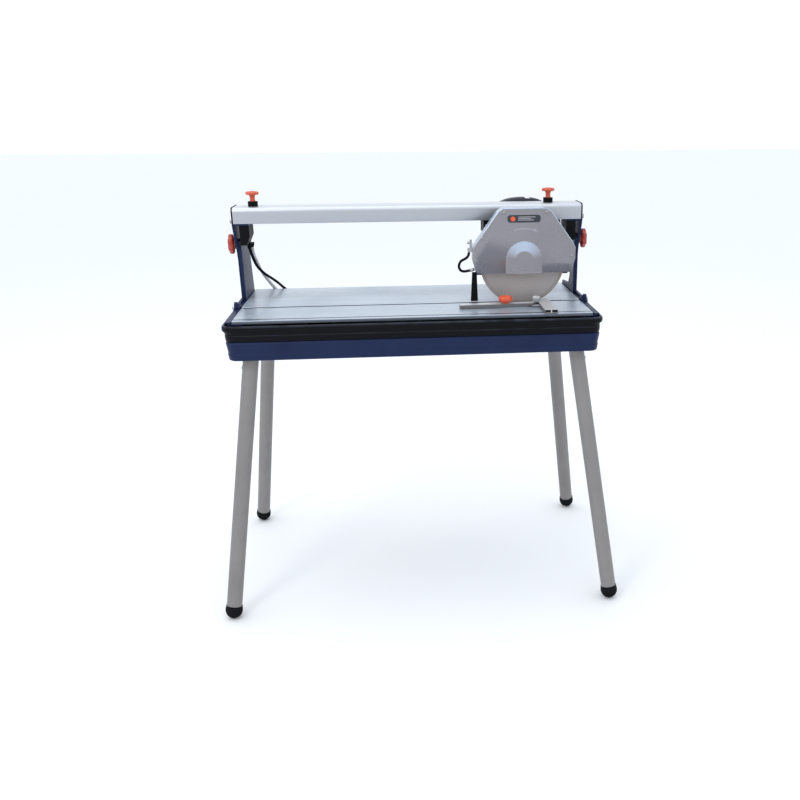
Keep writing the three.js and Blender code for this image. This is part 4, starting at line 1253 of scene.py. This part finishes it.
HANDLE = {"x": 0.277, "half_x": 0.071, "thick": 0.019, "round": 0.006, "glint_span": (0.53, 0.62)}


def add_handle():
    """Broad arched grip with a pale band on its crown, painted as a highlight, and finger ribs below."""
    lowest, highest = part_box("handle")
    y = (lowest.y + highest.y) / 2
    rise = highest.z - lowest.z - HANDLE["thick"] / 2
    half_x = HANDLE["half_x"] - HANDLE["thick"] / 2
    steps = 64

    def crown(angle):
        height = rise * math.sqrt(abs(math.sin(angle)))
        return Vector((HANDLE["x"] - half_x * math.cos(angle), y, lowest.z + height))

    path = resampled([crown(math.pi * i / steps) for i in range(steps + 1)], 0.003)
    wide = (highest.y - lowest.y) / 2 - 0.0004
    section = rounded_rectangle(wide, HANDLE["thick"] / 2 - 0.0004, HANDLE["round"], 5)
    piece("handle_arch", sweep(path, section), "cutting_head", "badge", replaces=("handle",), sharp=50)
    # Pale band on the crown: a painted highlight where the grip catches the light.
    first, last = (round(share * len(path)) for share in HANDLE["glint_span"])
    painted_glint = sweep(path[first:last], [(a * 0.98, b + 0.0003) for a, b in section])
    piece("handle_painted_glint", painted_glint, "cutting_head", "hose", 0.0006)
    ribs = bmesh.new()
    inside = lowest.z + rise - HANDLE["thick"] / 2 - 0.0002
    for i in range(7):
        x = HANDLE["x"] - 0.018 + 0.006 * i
        box((x - 0.0009, y - 0.007, inside - 0.0010), (x + 0.0009, y + 0.007, inside + 0.003), ribs)
    piece("handle_ribs", ribs, "cutting_head", "rubber", 0.0003)


SWITCH_LEVEL = TOP + 0.160


def add_switch():
    """Switch box with a raised bezel round its rocker, two screws and the gland of the mains lead."""
    keep("switch_box", "black", 0.0016)
    keep("switch_rocker", "bright_orange", 0.0007)
    highest = high("switch_box")
    centre_x, face, lip = middle("switch_rocker").x, highest.y, highest.y + 0.0010
    outside = rounded_rectangle(0.0130, 0.0095, 0.0022, 4)
    inside = rounded_rectangle(0.0103, 0.0081, 0.0008, 4)
    bezel = bmesh.new()
    rings = []
    for line, level in ((outside, face), (outside, lip), (inside, lip), (inside, face)):
        rings.append([bezel.verts.new((centre_x + x, level, SWITCH_LEVEL + z)) for x, z in line])
    skin(bezel, rings, loop=True)
    piece("switch_bezel", bezel, "cutting_head", "rubber", 0.0003)
    for i, x in enumerate((HANDLE["x"] - 0.023, HANDLE["x"] + 0.023)):
        seat = Vector((x, face, SWITCH_LEVEL))
        pan_screw(f"switch_screw_{i + 1}", seat, "y", 0.0027, "cutting_head")
    gland = [
        (0.0, 0.0), (0.0072, 0.0), (0.0074, 0.0046), (0.0066, 0.0058), (0.0040, 0.0060), (0.0038, 0.0030),
        (0.0, 0.0030),
    ]
    seat = Vector((highest.x - 0.0058, 0.151, SWITCH_LEVEL))
    piece("lead_gland_nut", turned(gland, seat, "x", 60, 10, 0.03), "cutting_head", "rubber")


def add_head():
    add_carriage()
    add_motor()
    add_blade()
    add_guard()
    add_handle()
    add_switch()


# ---------- fence ----------
FENCE_PIVOT = Vector((0.281, -0.101, 0))
FENCE_TURN = math.radians(3)
FENCE_KNOB_REACH = Vector((-0.072, -0.004, 0))


def on_bar(bm):
    """Turns a piece built along the unturned fence bar into the bar's rest angle."""
    bmesh.ops.rotate(bm, verts=bm.verts, matrix=Matrix.Rotation(FENCE_TURN, 3, "Z"), cent=(0, 0, 0))
    bmesh.ops.translate(bm, verts=bm.verts, vec=FENCE_PIVOT)
    return bm


def add_fence():
    keep("fence_arm", "fence", 0.0007)
    keep("fence_bar", "fence", 0.0006)
    top = high("fence_bar").z
    ticks = bmesh.new()
    edge = -0.0136
    for i in range(30):
        x = -0.174 + 0.005 * i
        long = 0.0045 if i % 2 == 0 else 0.0028
        box((x - 0.0002, edge, top - 0.0002), (x + 0.0002, edge + long, top + 0.00015), ticks)
    piece("fence_scale", on_bar(ticks), "fence_bar", "badge")
    screw_top = high("fence_thumb_screw").z
    head = [
        (0.0, top + 0.0004), (0.0068, top + 0.0004), (0.0068, top + 0.0030), (0.0088, top + 0.0034),
        (0.0092, top + 0.0042), (0.0092, screw_top - 0.0012), (0.0084, screw_top - 0.0003),
        (0.0050, screw_top), (0.0046, screw_top - 0.0006), (0.0, screw_top - 0.0006),
    ]
    screw = turned(head, FENCE_PIVOT, "z", 144, 36, 0.022)
    piece("knurled_head", screw, "fence_thumb_screw", "steel", replaces=("fence_thumb_screw",), sharp=50)
    knob_top = high("fence_knob").z
    profile = [
        (0.0, top + 0.0004), (0.0074, top + 0.0004), (0.0078, top + 0.0036), (0.0120, top + 0.0040),
        (0.0143, top + 0.0052), (0.0149, top + 0.0080), (0.0149, knob_top - 0.0040),
        (0.0138, knob_top - 0.0012), (0.0112, knob_top), (0.0060, knob_top),
        (0.0056, knob_top - 0.0010), (0.0, knob_top - 0.0010),
    ]
    knob = turned(profile, FENCE_KNOB_REACH, "z", 96, 6, 0.07)
    piece("fence_grip", on_bar(knob), "fence_knob", "bright_orange", replaces=("fence_knob",), sharp=50)


# ---------- stage ----------
def add_floor():
    bm = bmesh.new()
    reach = 30
    corners = [(-reach, -reach), (reach, -reach), (reach, reach), (-reach, reach)]
    bm.faces.new([bm.verts.new((x, y, 0)) for x, y in corners])
    mesh = bpy.data.meshes.new("floor")
    bm.to_mesh(mesh)
    bm.free()
    floor = bpy.data.objects.new("floor", mesh)
    bpy.context.scene.collection.objects.link(floor)
    look = Look("pale_floor", Roughness=0.75)
    look.colour(look.blend(look.noise(0.8, detail=4), paint(247, 247, 248), paint(250, 250, 251)))
    mesh.materials.append(look.material)


def add_light(name, place, target, size, watts, tint):
    data = bpy.data.lights.new(name, "AREA")
    data.shape = "SQUARE"
    data.size = size
    data.energy = watts
    data.color = tint
    light = bpy.data.objects.new(name, data)
    light.location = place
    light.rotation_euler = (Vector(target) - Vector(place)).to_track_quat("-Z", "Y").to_euler()
    bpy.context.scene.collection.objects.link(light)


def add_world():
    """White below and near the horizon, fading to a pale blue overhead."""
    world = bpy.data.worlds.new("studio")
    world.use_nodes = True
    nodes, links = world.node_tree.nodes, world.node_tree.links
    background = nodes["Background"]
    height = nodes.new("ShaderNodeSeparateXYZ")
    links.new(nodes.new("ShaderNodeTexCoord").outputs["Generated"], height.inputs[0])
    fade = nodes.new("ShaderNodeValToRGB")
    links.new(height.outputs["Z"], fade.inputs[0])
    links.new(fade.outputs[0], background.inputs["Color"])
    fade.color_ramp.elements[0].position = 0.19
    fade.color_ramp.elements[0].color = (1.0, 1.0, 1.0, 1)
    fade.color_ramp.elements[1].position = 0.36
    fade.color_ramp.elements[1].color = (0.87, 0.93, 1.0, 1)
    background.inputs["Strength"].default_value = 1.1
    bpy.context.scene.world = world


def add_stage():
    add_floor()
    add_light("sky_panel", (-0.4, 0.3, 3.4), (0, 0, 0.7), 3.2, 26, (1.0, 0.99, 0.97))
    add_light("front_panel", (-1.3, -1.9, 2.3), (0.2, 0, 0.7), 0.7, 13, (1.0, 0.99, 0.98))
    add_world()
    bpy.context.scene.view_settings.view_transform = "Standard"


add_camera()
add_cords()
add_stand()
add_pump()
add_bevel_frame()
add_head()
add_fence()
add_stage()
